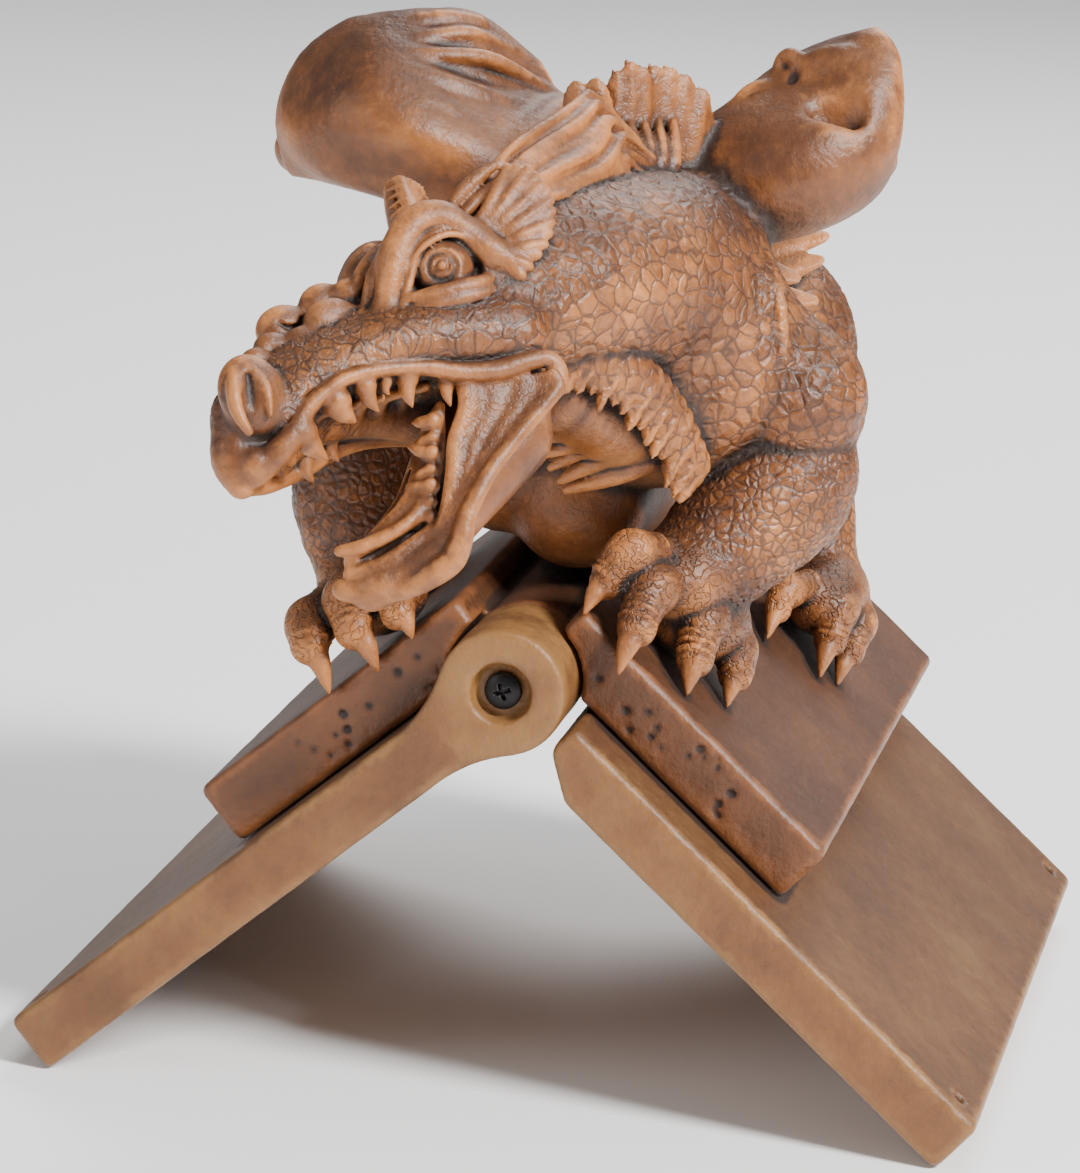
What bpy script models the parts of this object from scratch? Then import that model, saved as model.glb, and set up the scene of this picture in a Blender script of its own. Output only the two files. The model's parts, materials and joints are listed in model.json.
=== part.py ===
"""Dragon roof sculpture: a cast dragon crouching on a ridge saddle, over two hinged leaves.

The hinge axis runs along Y under the saddle's ridge. X points to the viewer's right, and the
dragon faces -Y. The figure is modelled in figure units of one millimetre at its standard
height, measured from the saddle's ridge, so it grows and shrinks as one form.
"""

import math

import bmesh
import bpy
from mathutils import Matrix, Vector

# Roof and leaves, in metres and radians
ROOF_SLOPE = math.radians(41.0)
LEAF_REACH = 0.205
LEAF_DEPTH = 0.281
LEAF_THICKNESS = 0.0206
LEAF_TOP = 0.0092
LEAF_INNER_TIP = 0.0238
LEAF_INNER_BEVEL = 0.015
LEAF_EDGE_ROUND = 0.0015
FIXING_HOLE_RADIUS = 0.0023
FIXING_HOLE_FROM_EDGE = 0.010
FIXING_HOLE_FROM_END = 0.011

# Hinge
KNUCKLE_RADIUS = 0.021
KNUCKLE_LENGTH = 0.040
KNUCKLE_FILLET = 0.050
COUNTERBORE_RADIUS = 0.0098
COUNTERBORE_DEPTH = 0.0071
SCREW_SHANK_RADIUS = 0.003
SCREW_HEAD_RADIUS = 0.006
SCREW_HEAD_HEIGHT = 0.0042
SCREW_GRIP = 0.022
SCREW_CROSS_WIDTH = 0.0012
SCREW_CROSS_DEPTH = 0.0016
CLEARANCE = 0.0004
SUNK = 0.0001
INNER_TIP_SHARE = 0.55
SCREW_CROWN_SHARE = 0.35
THREAD_RUN_OUT = 0.002

# Saddle
SADDLE_THICKNESS = 0.0222
SADDLE_REACH = 0.1106
SADDLE_SETBACK = 0.0223
SADDLE_EDGE_ROUND = 0.003
LUG_RADIUS = 0.0205
CHANNEL_GAP = 0.0012
LUG_STEP = math.radians(22.0)

# Figure
FIGURE_HEIGHT = 0.158
FIGURE_UNITS = 158.0
FIGURE_VOXEL = 0.0019
FIGURE_TRIANGLES = 7800
HEAD_PLACE = (-28.0, -13.0, 89.0)
HEAD_YAW = math.radians(-134.0)
HEAD_PITCH = math.radians(-8.5)
HEAD_ROLL = math.radians(28.8)

# Crest fins behind the mane: foot and tip in figure places, and girth in figure units
CREST = (
    ((2, 80, 120), (0, 80, 139), 6), ((7, 82, 120), (7, 80, 143), 6),
    ((12, 90, 118), (14, 91, 146), 8), ((18, 98, 118), (21, 100, 145), 8),
    ((27, 106, 116), (29, 108, 142), 9), ((33, 110, 112), (36, 111, 137), 8),
    ((28, 136, 90), (30, 142, 120), 10), ((16, 164, 86), (17, 172, 110), 9),
    ((8, 190, 76), (8, 200, 98), 8), ((3, 214, 58), (3, 226, 76), 7),
)

SADDLE_BOTTOM = LEAF_TOP + CLEARANCE
RIDGE_Z = (SADDLE_BOTTOM + SADDLE_THICKNESS) / math.cos(ROOF_SLOPE)
UNIT = FIGURE_HEIGHT / FIGURE_UNITS
ROUND_SIDES = 24

TERRACOTTA = (0.30, 0.13, 0.065, 1.0)
DARK_COPPER = (0.20, 0.085, 0.045, 1.0)
BLACK_STEEL = (0.03, 0.03, 0.032, 1.0)


def clear_scene():
    """Remove what the file opened with."""
    for thing in list(bpy.data.objects):
        bpy.data.objects.remove(thing, do_unlink=True)
    for group in list(bpy.data.collections):
        bpy.data.collections.remove(group)


def new_collection(name):
    """Add a collection to the scene."""
    group = bpy.data.collections.new(name)
    bpy.context.scene.collection.children.link(group)
    return group


def material(name, colour, roughness, metallic):
    """Make one plain material for a sub-part."""
    result = bpy.data.materials.new(name)
    result.use_nodes = True
    shader = result.node_tree.nodes["Principled BSDF"]
    shader.inputs["Base Color"].default_value = colour
    shader.inputs["Roughness"].default_value = roughness
    shader.inputs["Metallic"].default_value = metallic
    result.diffuse_color = colour
    return result


def mesh_object(name, mesh, group):
    """Link a mesh as a named object."""
    thing = bpy.data.objects.new(name, mesh)
    group.objects.link(thing)
    return thing


def from_curve(curve_object):
    """Turn a curve object into a closed mesh in world space and remove the curve."""
    bpy.context.view_layer.update()
    graph = bpy.context.evaluated_depsgraph_get()
    mesh = bpy.data.meshes.new_from_object(curve_object.evaluated_get(graph))
    mesh.transform(curve_object.matrix_world)
    bpy.data.objects.remove(curve_object, do_unlink=True)
    form = bmesh.new()
    form.from_mesh(mesh)
    bmesh.ops.remove_doubles(form, verts=form.verts, dist=1e-6)
    bmesh.ops.recalc_face_normals(form, faces=form.faces)
    form.to_mesh(mesh)
    form.free()
    return mesh


def extruded(outline, start_y, end_y):
    """Extrude an X-Z outline along Y."""
    curve = bpy.data.curves.new("outline", "CURVE")
    curve.dimensions = "2D"
    curve.fill_mode = "BOTH"
    curve.extrude = (end_y - start_y) / 2.0
    spline = curve.splines.new("POLY")
    spline.points.add(len(outline) - 1)
    for point, (x, z) in zip(spline.points, outline):
        point.co = (x, z, 0.0, 1.0)
    spline.use_cyclic_u = True
    thing = bpy.data.objects.new("outline", curve)
    thing.matrix_world = (Matrix.Translation((0.0, (start_y + end_y) / 2.0, 0.0))
                          @ Matrix.Rotation(math.pi / 2.0, 4, "X"))
    bpy.context.scene.collection.objects.link(thing)
    return from_curve(thing)


def cylinder(radius, start_y, end_y, sides=ROUND_SIDES):
    """A cylinder along Y."""
    form = bmesh.new()
    place = (Matrix.Translation((0.0, (start_y + end_y) / 2.0, 0.0))
             @ Matrix.Rotation(math.pi / 2.0, 4, "X"))
    bmesh.ops.create_cone(form, cap_ends=True, segments=sides, radius1=radius, radius2=radius,
                          depth=end_y - start_y, matrix=place)
    mesh = bpy.data.meshes.new("cylinder")
    form.to_mesh(mesh)
    form.free()
    return mesh


def combine(thing, mesh, operation, cutters, name):
    """Join, cut or trim an object with another closed mesh."""
    tool = mesh_object(name, mesh, cutters)
    tool.hide_render = True
    tool.display_type = "WIRE"
    step = thing.modifiers.new(name, "BOOLEAN")
    step.operation = operation
    step.solver = "EXACT"
    step.object = tool
    return tool


def settled(thing):
    """Give an object the mesh that its modifiers make, and clear them."""
    bpy.context.view_layer.update()
    graph = bpy.context.evaluated_depsgraph_get()
    mesh = bpy.data.meshes.new_from_object(thing.evaluated_get(graph))
    thing.modifiers.clear()
    thing.data = mesh
    mesh.calc_loop_triangles()
    return mesh


def round_edges(thing, width):
    """Round the crisp edges of a cast plate."""
    step = thing.modifiers.new("worn edges", "BEVEL")
    step.width = width
    step.segments = 1
    step.limit_method = "ANGLE"
    step.angle_limit = math.radians(50.0)


def on_slope(along, above, side=1.0):
    """Point of an outline given along the slope from the hinge axis and square to it."""
    x = along * math.cos(ROOF_SLOPE) + above * math.sin(ROOF_SLOPE)
    z = above * math.cos(ROOF_SLOPE) - along * math.sin(ROOF_SLOPE)
    return (side * x, z)


def arc(centre, radius, start, end, steps):
    """Points of an arc, given in slope coordinates with angles from the slope direction."""
    points = []
    for index in range(steps + 1):
        angle = start + (end - start) * index / steps
        points.append((centre[0] + radius * math.cos(angle), centre[1] + radius * math.sin(angle)))
    return points


def knuckle_outline(side, hollow_top, sunk):
    """Round knuckle that flows into the leaf through a hollow fillet below, and above or not.

    It lies a little inside the leaf's faces, so that no two faces share a plane.
    """
    top, under = LEAF_TOP - sunk, LEAF_THICKNESS - LEAF_TOP - sunk
    radius = KNUCKLE_RADIUS - sunk
    reach = radius + KNUCKLE_FILLET
    centre_top = (math.sqrt(reach ** 2 - (top + KNUCKLE_FILLET) ** 2), top + KNUCKLE_FILLET)
    centre_under = (math.sqrt(reach ** 2 - (under + KNUCKLE_FILLET) ** 2),
                    -under - KNUCKLE_FILLET)
    angle_top = math.atan2(centre_top[1], centre_top[0])
    angle_under = math.atan2(centre_under[1], centre_under[0])
    overlap = max(centre_top[0], centre_under[0]) + LEAF_THICKNESS
    points = [(overlap, -under), (overlap, top)]
    if hollow_top:
        points += arc(centre_top, KNUCKLE_FILLET, -math.pi / 2.0, angle_top - math.pi, 5)
    else:
        angle_top = math.asin(top / radius)
        points += arc((0.0, 0.0), radius, angle_top, angle_top, 1)[:1]
    points += arc((0.0, 0.0), radius, angle_top, angle_under + 2.0 * math.pi, 22)[1:-1]
    points += arc(centre_under, KNUCKLE_FILLET, angle_under + math.pi, math.pi / 2.0, 5)
    return [on_slope(along, above, side) for along, above in points]


def leaf(name, side, knuckle_start, group, cutters, finish):
    """One roof leaf: a thick plate with a knuckle on one end of its inner edge."""
    top, under = LEAF_TOP, LEAF_THICKNESS - LEAF_TOP
    plate = [(LEAF_INNER_TIP, top), (LEAF_INNER_TIP, top - LEAF_THICKNESS * INNER_TIP_SHARE),
             (LEAF_INNER_TIP + LEAF_INNER_BEVEL, -under), (LEAF_REACH, -under),
             (LEAF_REACH, top)]
    outline = [on_slope(along, above, side) for along, above in plate]
    thing = mesh_object(name, extruded(outline, 0.0, LEAF_DEPTH), group)
    round_edges(thing, LEAF_EDGE_ROUND)
    knuckle_end = knuckle_start + KNUCKLE_LENGTH
    front = knuckle_start == 0.0
    arm = extruded(knuckle_outline(side, False, SUNK), knuckle_start + (SUNK if front else 0.0),
                   knuckle_end - (0.0 if front else SUNK))
    combine(thing, arm, "UNION", cutters, name + " knuckle")
    if front:
        brow = extruded(knuckle_outline(side, True, 2.0 * SUNK), 2.0 * SUNK,
                        SADDLE_SETBACK - CLEARANCE)
        combine(thing, brow, "UNION", cutters, name + " fillet")
    floor = COUNTERBORE_DEPTH if front else LEAF_DEPTH - COUNTERBORE_DEPTH
    mouth = -CLEARANCE if front else LEAF_DEPTH + CLEARANCE
    bore = cylinder(SCREW_SHANK_RADIUS + CLEARANCE, knuckle_start - CLEARANCE,
                    knuckle_end + CLEARANCE, 16)
    combine(thing, bore, "DIFFERENCE", cutters, name + " bore")
    recess = cylinder(COUNTERBORE_RADIUS, min(mouth, floor), max(mouth, floor))
    combine(thing, recess, "DIFFERENCE", cutters, name + " counterbore")
    for label, y in (("front", FIXING_HOLE_FROM_END), ("back", LEAF_DEPTH - FIXING_HOLE_FROM_END)):
        along = LEAF_REACH - FIXING_HOLE_FROM_EDGE
        hole = cylinder(FIXING_HOLE_RADIUS, -LEAF_THICKNESS, LEAF_THICKNESS, 10)
        turn = Matrix.Rotation(math.pi / 2.0, 4, "X")
        lean = Matrix.Rotation(side * ROOF_SLOPE, 4, "Y")
        x, z = on_slope(along, 0.0, side)
        hole.transform(Matrix.Translation((x, y, z)) @ lean @ turn)
        combine(thing, hole, "DIFFERENCE", cutters, name + " fixing hole " + label)
    thing.data.materials.append(finish)
    return thing


def hinge_screw(name, front, group, cutters, finish):
    """Pan-head screw through a knuckle into the saddle's lug, with a cross in its head."""
    tip = KNUCKLE_LENGTH + SCREW_GRIP
    seat = COUNTERBORE_DEPTH - CLEARANCE
    top = seat - SCREW_HEAD_HEIGHT
    crown = SCREW_HEAD_HEIGHT * SCREW_CROWN_SHARE
    profile = [(0.0, top), (SCREW_HEAD_RADIUS - crown, top), (SCREW_HEAD_RADIUS, top + crown),
               (SCREW_HEAD_RADIUS, seat), (SCREW_SHANK_RADIUS, seat),
               (SCREW_SHANK_RADIUS, tip - SCREW_SHANK_RADIUS * 0.5),
               (SCREW_SHANK_RADIUS * 0.6, tip), (0.0, tip)]
    mesh = bpy.data.meshes.new(name)
    mesh.from_pydata([(radius, 0.0, -y) for radius, y in profile],
                     [(index, index + 1) for index in range(len(profile) - 1)], [])
    thing = mesh_object(name, mesh, group)
    turn = thing.modifiers.new("turned", "SCREW")
    turn.axis = "Z"
    turn.steps = 20
    turn.render_steps = 20
    turn.use_merge_vertices = True
    turn.merge_threshold = 0.00001
    turned = settled(thing)
    stand = Matrix.Rotation(math.pi / 2.0, 4, "X")
    if not front:
        stand = (Matrix.Translation((0.0, LEAF_DEPTH, 0.0))
                 @ Matrix.Rotation(-math.pi / 2.0, 4, "X"))
    turned.transform(stand)
    face_y = top if front else LEAF_DEPTH - top
    for tilt in (0.0, math.pi / 2.0):
        form = bmesh.new()
        bmesh.ops.create_cube(form, size=1.0)
        slot = bpy.data.meshes.new(name + " slot")
        form.to_mesh(slot)
        form.free()
        size = Matrix.Diagonal((SCREW_HEAD_RADIUS, 2.0 * SCREW_CROSS_DEPTH,
                                SCREW_CROSS_WIDTH, 1.0))
        spin = Matrix.Rotation(tilt + math.radians(20.0), 4, "Y")
        slot.transform(Matrix.Translation((0.0, face_y, 0.0)) @ spin @ size)
        combine(thing, slot, "DIFFERENCE", cutters, name + " slot")
    thing.data.materials.append(finish)
    return thing


def saddle_outline():
    """Inverted V whose inner corner hangs down round the hinge as a lug."""
    bottom = SADDLE_BOTTOM
    top = SADDLE_BOTTOM + SADDLE_THICKNESS
    meet = math.sqrt(LUG_RADIUS ** 2 - bottom ** 2)
    right = [(top * math.tan(ROOF_SLOPE), top), (SADDLE_REACH, top), (SADDLE_REACH, bottom),
             (meet, bottom)]
    start = math.atan2(bottom, meet)
    lug = [(LUG_RADIUS * math.cos(start - LUG_STEP * index),
            LUG_RADIUS * math.sin(start - LUG_STEP * index)) for index in range(1, 7)]
    half = [on_slope(along, above) for along, above in right[1:] + lug]
    half = [(x, z) for x, z in half if x > 0.0]
    mirrored = [(-x, z) for x, z in reversed(half)]
    return [(0.0, RIDGE_Z)] + half + [(0.0, -LUG_RADIUS)] + mirrored


def saddle_mesh(cutters):
    """The saddle with a channel at each end for the leaves' knuckles and screws."""
    thing = mesh_object("saddle", extruded(saddle_outline(), SADDLE_SETBACK, LEAF_DEPTH), cutters)
    round_edges(thing, SADDLE_EDGE_ROUND)
    channel = KNUCKLE_RADIUS + CHANNEL_GAP
    ends = (("front", -CLEARANCE, KNUCKLE_LENGTH + CLEARANCE),
            ("back", LEAF_DEPTH - KNUCKLE_LENGTH - CLEARANCE, LEAF_DEPTH + CLEARANCE))
    tools = []
    for label, low, high in ends:
        tools.append(combine(thing, cylinder(channel, low, high, 36), "DIFFERENCE", cutters,
                             "channel " + label))
    depth = SCREW_GRIP + THREAD_RUN_OUT
    holes = ((KNUCKLE_LENGTH - CLEARANCE, KNUCKLE_LENGTH + depth),
             (LEAF_DEPTH - KNUCKLE_LENGTH - depth, LEAF_DEPTH - KNUCKLE_LENGTH + CLEARANCE))
    for low, high in holes:
        tools.append(combine(thing, cylinder(SCREW_SHANK_RADIUS + CLEARANCE, low, high, 16),
                             "DIFFERENCE", cutters, "thread"))
    mesh = settled(thing)
    bpy.data.objects.remove(thing, do_unlink=True)
    for tool in tools:
        bpy.data.objects.remove(tool, do_unlink=True)
    return mesh


# Figure helpers: points are figure units, x and y from the hinge axis, z from the ridge

def fig(x, y, z):
    """World place of a figure point."""
    return Vector((x * UNIT, y * UNIT, z * UNIT + RIDGE_Z))


def shift(x, y, z):
    """Distance between two figure places."""
    return Vector((x, y, z)) * UNIT


def on_saddle(side, along, y, above):
    """World place of a point given down the saddle's slope from the ridge and above it."""
    x, z = on_slope(along * UNIT, above * UNIT, side)
    return Vector((x, y * UNIT, z + RIDGE_Z))


def head_axes():
    """Matrix whose columns point forwards, to the left and up from the head."""
    forward = Vector((math.sin(HEAD_YAW), math.cos(HEAD_YAW), 0.0))
    forward = forward * math.cos(HEAD_PITCH) + Vector((0.0, 0.0, math.sin(HEAD_PITCH)))
    left = Vector((0.0, 0.0, 1.0)).cross(forward).normalized()
    up = forward.cross(left)
    rolled_left = left * math.cos(HEAD_ROLL) + up * math.sin(HEAD_ROLL)
    rolled_up = forward.cross(rolled_left)
    return forward, rolled_left, rolled_up


def on_head(forward, left, up):
    """World place of a point given from the middle of the head between the eyes."""
    axes = head_axes()
    offset = (axes[0] * forward + axes[1] * left + axes[2] * up) * UNIT
    return fig(*HEAD_PLACE) + offset


class Clay:
    """Closed lumps of clay that become one form."""

    def __init__(self):
        self.form = bmesh.new()
        self.rods = bpy.data.curves.new("rods", "CURVE")
        self.rods.dimensions = "3D"
        self.rods.bevel_depth = UNIT
        self.rods.bevel_resolution = 3
        self.rods.use_fill_caps = True
        self.rods.resolution_u = 5

    def ball(self, centre, radii, axes=None, fineness=12):
        """An ellipsoid, with its radii along the given axes."""
        radii = (radii, radii, radii) if isinstance(radii, (int, float)) else radii
        turn = Matrix.Identity(3)
        if axes:
            turn = Matrix(axes).transposed()
        place = Matrix.Translation(centre) @ turn.to_4x4()
        place = place @ Matrix.Diagonal([radius * UNIT for radius in radii] + [1.0])
        bmesh.ops.create_uvsphere(self.form, u_segments=fineness, v_segments=fineness * 2 // 3,
                                  radius=1.0, matrix=place)

    def rod(self, path, radii):
        """A round rod that swells and narrows along a smooth path."""
        spline = self.rods.splines.new("BEZIER")
        spline.bezier_points.add(len(path) - 1)
        for point, place, radius in zip(spline.bezier_points, path, radii):
            point.co = place
            point.radius = radius
            point.handle_left_type = "AUTO"
            point.handle_right_type = "AUTO"
        for place, radius in ((path[0], radii[0]), (path[-1], radii[-1])):
            if radius > 1.5:
                self.ball(place, radius, fineness=9)

    def sheet(self, surface, columns, rows, thickness):
        """A thick sheet over a function of two shares from 0 to 1."""
        front, back = [], []
        for row in range(rows + 1):
            for column in range(columns + 1):
                across, along = column / columns, row / rows
                place = surface(across, along)
                step_across = surface(min(across + 0.01, 1.0), along) - surface(across - 0.01, along)
                step_along = surface(across, min(along + 0.01, 1.0)) - surface(across, along - 0.01)
                normal = step_across.cross(step_along).normalized()
                front.append(self.form.verts.new(place + normal * thickness * UNIT / 2.0))
                back.append(self.form.verts.new(place - normal * thickness * UNIT / 2.0))
        wide = columns + 1
        for row in range(rows):
            for column in range(columns):
                a = row * wide + column
                ring = (a, a + 1, a + 1 + wide, a + wide)
                self.form.faces.new([front[index] for index in ring])
                self.form.faces.new([back[index] for index in reversed(ring)])
        edge = list(range(columns))
        edge += [row * wide + columns for row in range(rows)]
        edge += [rows * wide + column for column in range(columns, 0, -1)]
        edge += [row * wide for row in range(rows, 0, -1)]
        for a, b in zip(edge, edge[1:] + edge[:1]):
            self.form.faces.new((front[b], front[a], back[a], back[b]))

    def finish(self):
        """All the lumps as one mesh."""
        thing = bpy.data.objects.new("rods", self.rods)
        bpy.context.scene.collection.objects.link(thing)
        self.form.from_mesh(from_curve(thing))
        mesh = bpy.data.meshes.new("clay")
        self.form.to_mesh(mesh)
        self.form.free()
        return mesh


def along_path(path, share):
    """Point at a share of the way along a list of points, smoothly."""
    spot = min(max(share, 0.0), 1.0) * (len(path) - 1)
    index = min(int(spot), len(path) - 2)
    t = spot - index
    before = path[max(index - 1, 0)]
    a, b = path[index], path[index + 1]
    after = path[min(index + 2, len(path) - 1)]
    return 0.5 * (2.0 * a + (b - before) * t + (2.0 * before - 5.0 * a + 4.0 * b - after) * t * t
                  + (3.0 * a - before - 3.0 * b + after) * t ** 3)


def torso(clay):
    """Deep chest, back and rump lying along the ridge."""
    clay.rod([fig(16, 58, 46), fig(12, 92, 60), fig(6, 138, 60), fig(2, 188, 46), fig(0, 226, 28)],
             [36, 46, 44, 44, 30])
    clay.rod([fig(8, 66, 8), fig(2, 150, 2), fig(0, 222, 2)], [24, 28, 22])
    clay.ball(fig(-18, 74, 14), (24, 22, 24))
    for side in (-1.0, 1.0):
        clay.ball(fig(side * 34 + 10, 84, 52), (34, 34, 36))


def neck(clay):
    """Thick neck from the shoulders to the back of the head."""
    clay.rod([fig(26, 88, 74), fig(23, 58, 82), fig(12, 26, 86), fig(-2, 2, 84)],
             [42, 35, 30, 25])
    clay.rod([fig(36, 72, 34), fig(25, 42, 40), fig(12, 16, 52)], [20, 15, 12])


def chest_fringe(clay):
    """Row of pointed scutes that hangs down the front of the chest."""
    path = [fig(10, 2, 67), fig(19, 4, 64), fig(29, 14, 58), fig(37, 24, 49), fig(43, 36, 36),
            fig(48, 46, 20)]
    for index in range(11):
        place = along_path(path, index / 10.0)
        clay.rod([place + shift(1, 6, 6), place, place + shift(-1, -5, -6)], [7, 5, 1.6])


def tail(clay):
    """Tail curled round behind the rump, close to the ridge."""
    clay.rod([fig(0, 222, 24), fig(-10, 246, 24), fig(-30, 254, 14), fig(-48, 240, 0),
              fig(-56, 216, -16), fig(-58, 196, -26)], [28, 19, 14, 11, 8, 4])


def foreleg(clay, side, shoulder, elbow, wrist, girth):
    """Bent foreleg with a bulging shoulder and a thick forearm."""
    clay.ball(shoulder, (girth * 1.02, girth * 1.05, girth * 1.1))
    clay.rod([shoulder, elbow, wrist], [girth, girth * 1.05, girth * 0.82])
    clay.rod([shoulder + shift(-side * 20, 0, 12), shoulder], [girth * 1.2, girth])


def toe(clay, root, knuckle, claw_root, claw_tip, girth):
    """A knobbly toe with a curved claw."""
    clay.rod([root, knuckle, claw_root], [girth * 0.9, girth * 1.05, girth * 0.72])
    clay.ball(knuckle, girth * 1.12)
    middle = (claw_root + claw_tip) / 2.0 + Vector((0.0, 0.0, girth * 0.25 * UNIT))
    clay.rod([claw_root, middle, claw_tip], [girth * 0.55, girth * 0.42, 0.5])


def front_left_foot(clay):
    """Foot on the right-hand slope, its claws gripping the saddle's front edge."""
    clay.ball(on_saddle(1, 44, 58, 22), (17, 21, 15))
    clay.ball(on_saddle(1, 58, 66, 12), (17, 20, 13))
    toe(clay, on_saddle(1, 36, 50, 24), on_saddle(1, 26, 33, 22), on_saddle(1, 27, 28, 11),
        on_saddle(1, 29, 19, 1), 7.2)
    toe(clay, on_saddle(1, 44, 50, 22), on_saddle(1, 39, 33, 18), on_saddle(1, 44, 22, 9),
        on_saddle(1, 50, 12, -3), 8.0)
    toe(clay, on_saddle(1, 54, 56, 22), on_saddle(1, 58, 51, 18), on_saddle(1, 65, 42, 9),
        on_saddle(1, 71, 34, 1), 7.6)
    toe(clay, on_saddle(1, 62, 70, 18), on_saddle(1, 73, 68, 13), on_saddle(1, 79, 64, 8),
        on_saddle(1, 84, 56, 1), 7.0)


def hind_left_foot(clay):
    """Foot on the right-hand slope under the haunch."""
    clay.ball(on_saddle(1, 88, 186, 15), (15, 24, 14))
    toe(clay, on_saddle(1, 84, 176, 20), on_saddle(1, 76, 158, 14), on_saddle(1, 78, 150, 9),
        on_saddle(1, 82, 140, 2), 5.6)
    toe(clay, on_saddle(1, 88, 182, 20), on_saddle(1, 93, 172, 18), on_saddle(1, 99, 166, 10),
        on_saddle(1, 105, 155, 1), 7.2)
    toe(clay, on_saddle(1, 96, 190, 18), on_saddle(1, 102, 184, 16), on_saddle(1, 107, 176, 9),
        on_saddle(1, 112, 166, 0), 6.8)


def front_right_foot(clay):
    """Foot on the left-hand slope, reaching over the saddle's front edge."""
    clay.ball(on_saddle(-1, 57, 50, 17), (18, 20, 15))
    toe(clay, on_saddle(-1, 66, 46, 20), on_saddle(-1, 74, 30, 21), fig(-68, 22, -38),
        fig(-60, 18, -52), 8.0)
    toe(clay, on_saddle(-1, 56, 44, 22), on_saddle(-1, 58, 28, 20), fig(-53, 20, -31),
        fig(-44, 17, -43), 8.0)
    toe(clay, on_saddle(-1, 45, 44, 19), on_saddle(-1, 43, 28, 16), fig(-39, 21, -24),
        fig(-33, 17, -31), 7.2)


def hind_right_foot(clay):
    """Foot on the left-hand slope under the haunch."""
    clay.ball(on_saddle(-1, 84, 184, 12), (14, 23, 12))
    for place, reach in ((74, 158), (87, 152), (99, 158)):
        toe(clay, on_saddle(-1, place - 1, reach + 22, 15), on_saddle(-1, place, reach + 10, 12),
            on_saddle(-1, place + 1, reach + 2, 7), on_saddle(-1, place + 2, reach - 9, 1), 6.0)


def legs(clay):
    """Four bent legs, with the haunches drawn up beside the rump."""
    foreleg(clay, 1, fig(74, 90, 42), fig(72, 86, 14), on_saddle(1, 46, 66, 30), 23.0)
    foreleg(clay, -1, fig(-50, 84, 40), fig(-66, 70, 8), on_saddle(-1, 56, 56, 24), 19.5)
    for side in (-1.0, 1.0):
        clay.ball(fig(side * 44, 190, 36), (37, 42, 41))
        clay.rod([fig(side * 50, 206, 24), fig(side * 60, 208, 0), on_saddle(side, 82, 194, 16)],
                 [25, 19, 13])
    front_left_foot(clay)
    front_right_foot(clay)
    hind_left_foot(clay)
    hind_right_foot(clay)


def wing(clay, rows, fingers):
    """Folded wing: a front that bulges from its lower contour up to a ridge, then turns back."""
    rows = [[fig(*place) for place in row] for row in rows]

    def surface(across, along):
        return along_path([along_path(row, along) for row in rows], across)

    clay.sheet(surface, 14, 14, 7.5)
    for finger in fingers:
        girths = [2.4] + [3.4] * (len(finger) - 2) + [2.4]
        clay.rod([fig(x, y - 1, z) for x, y, z in finger], girths)


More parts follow.
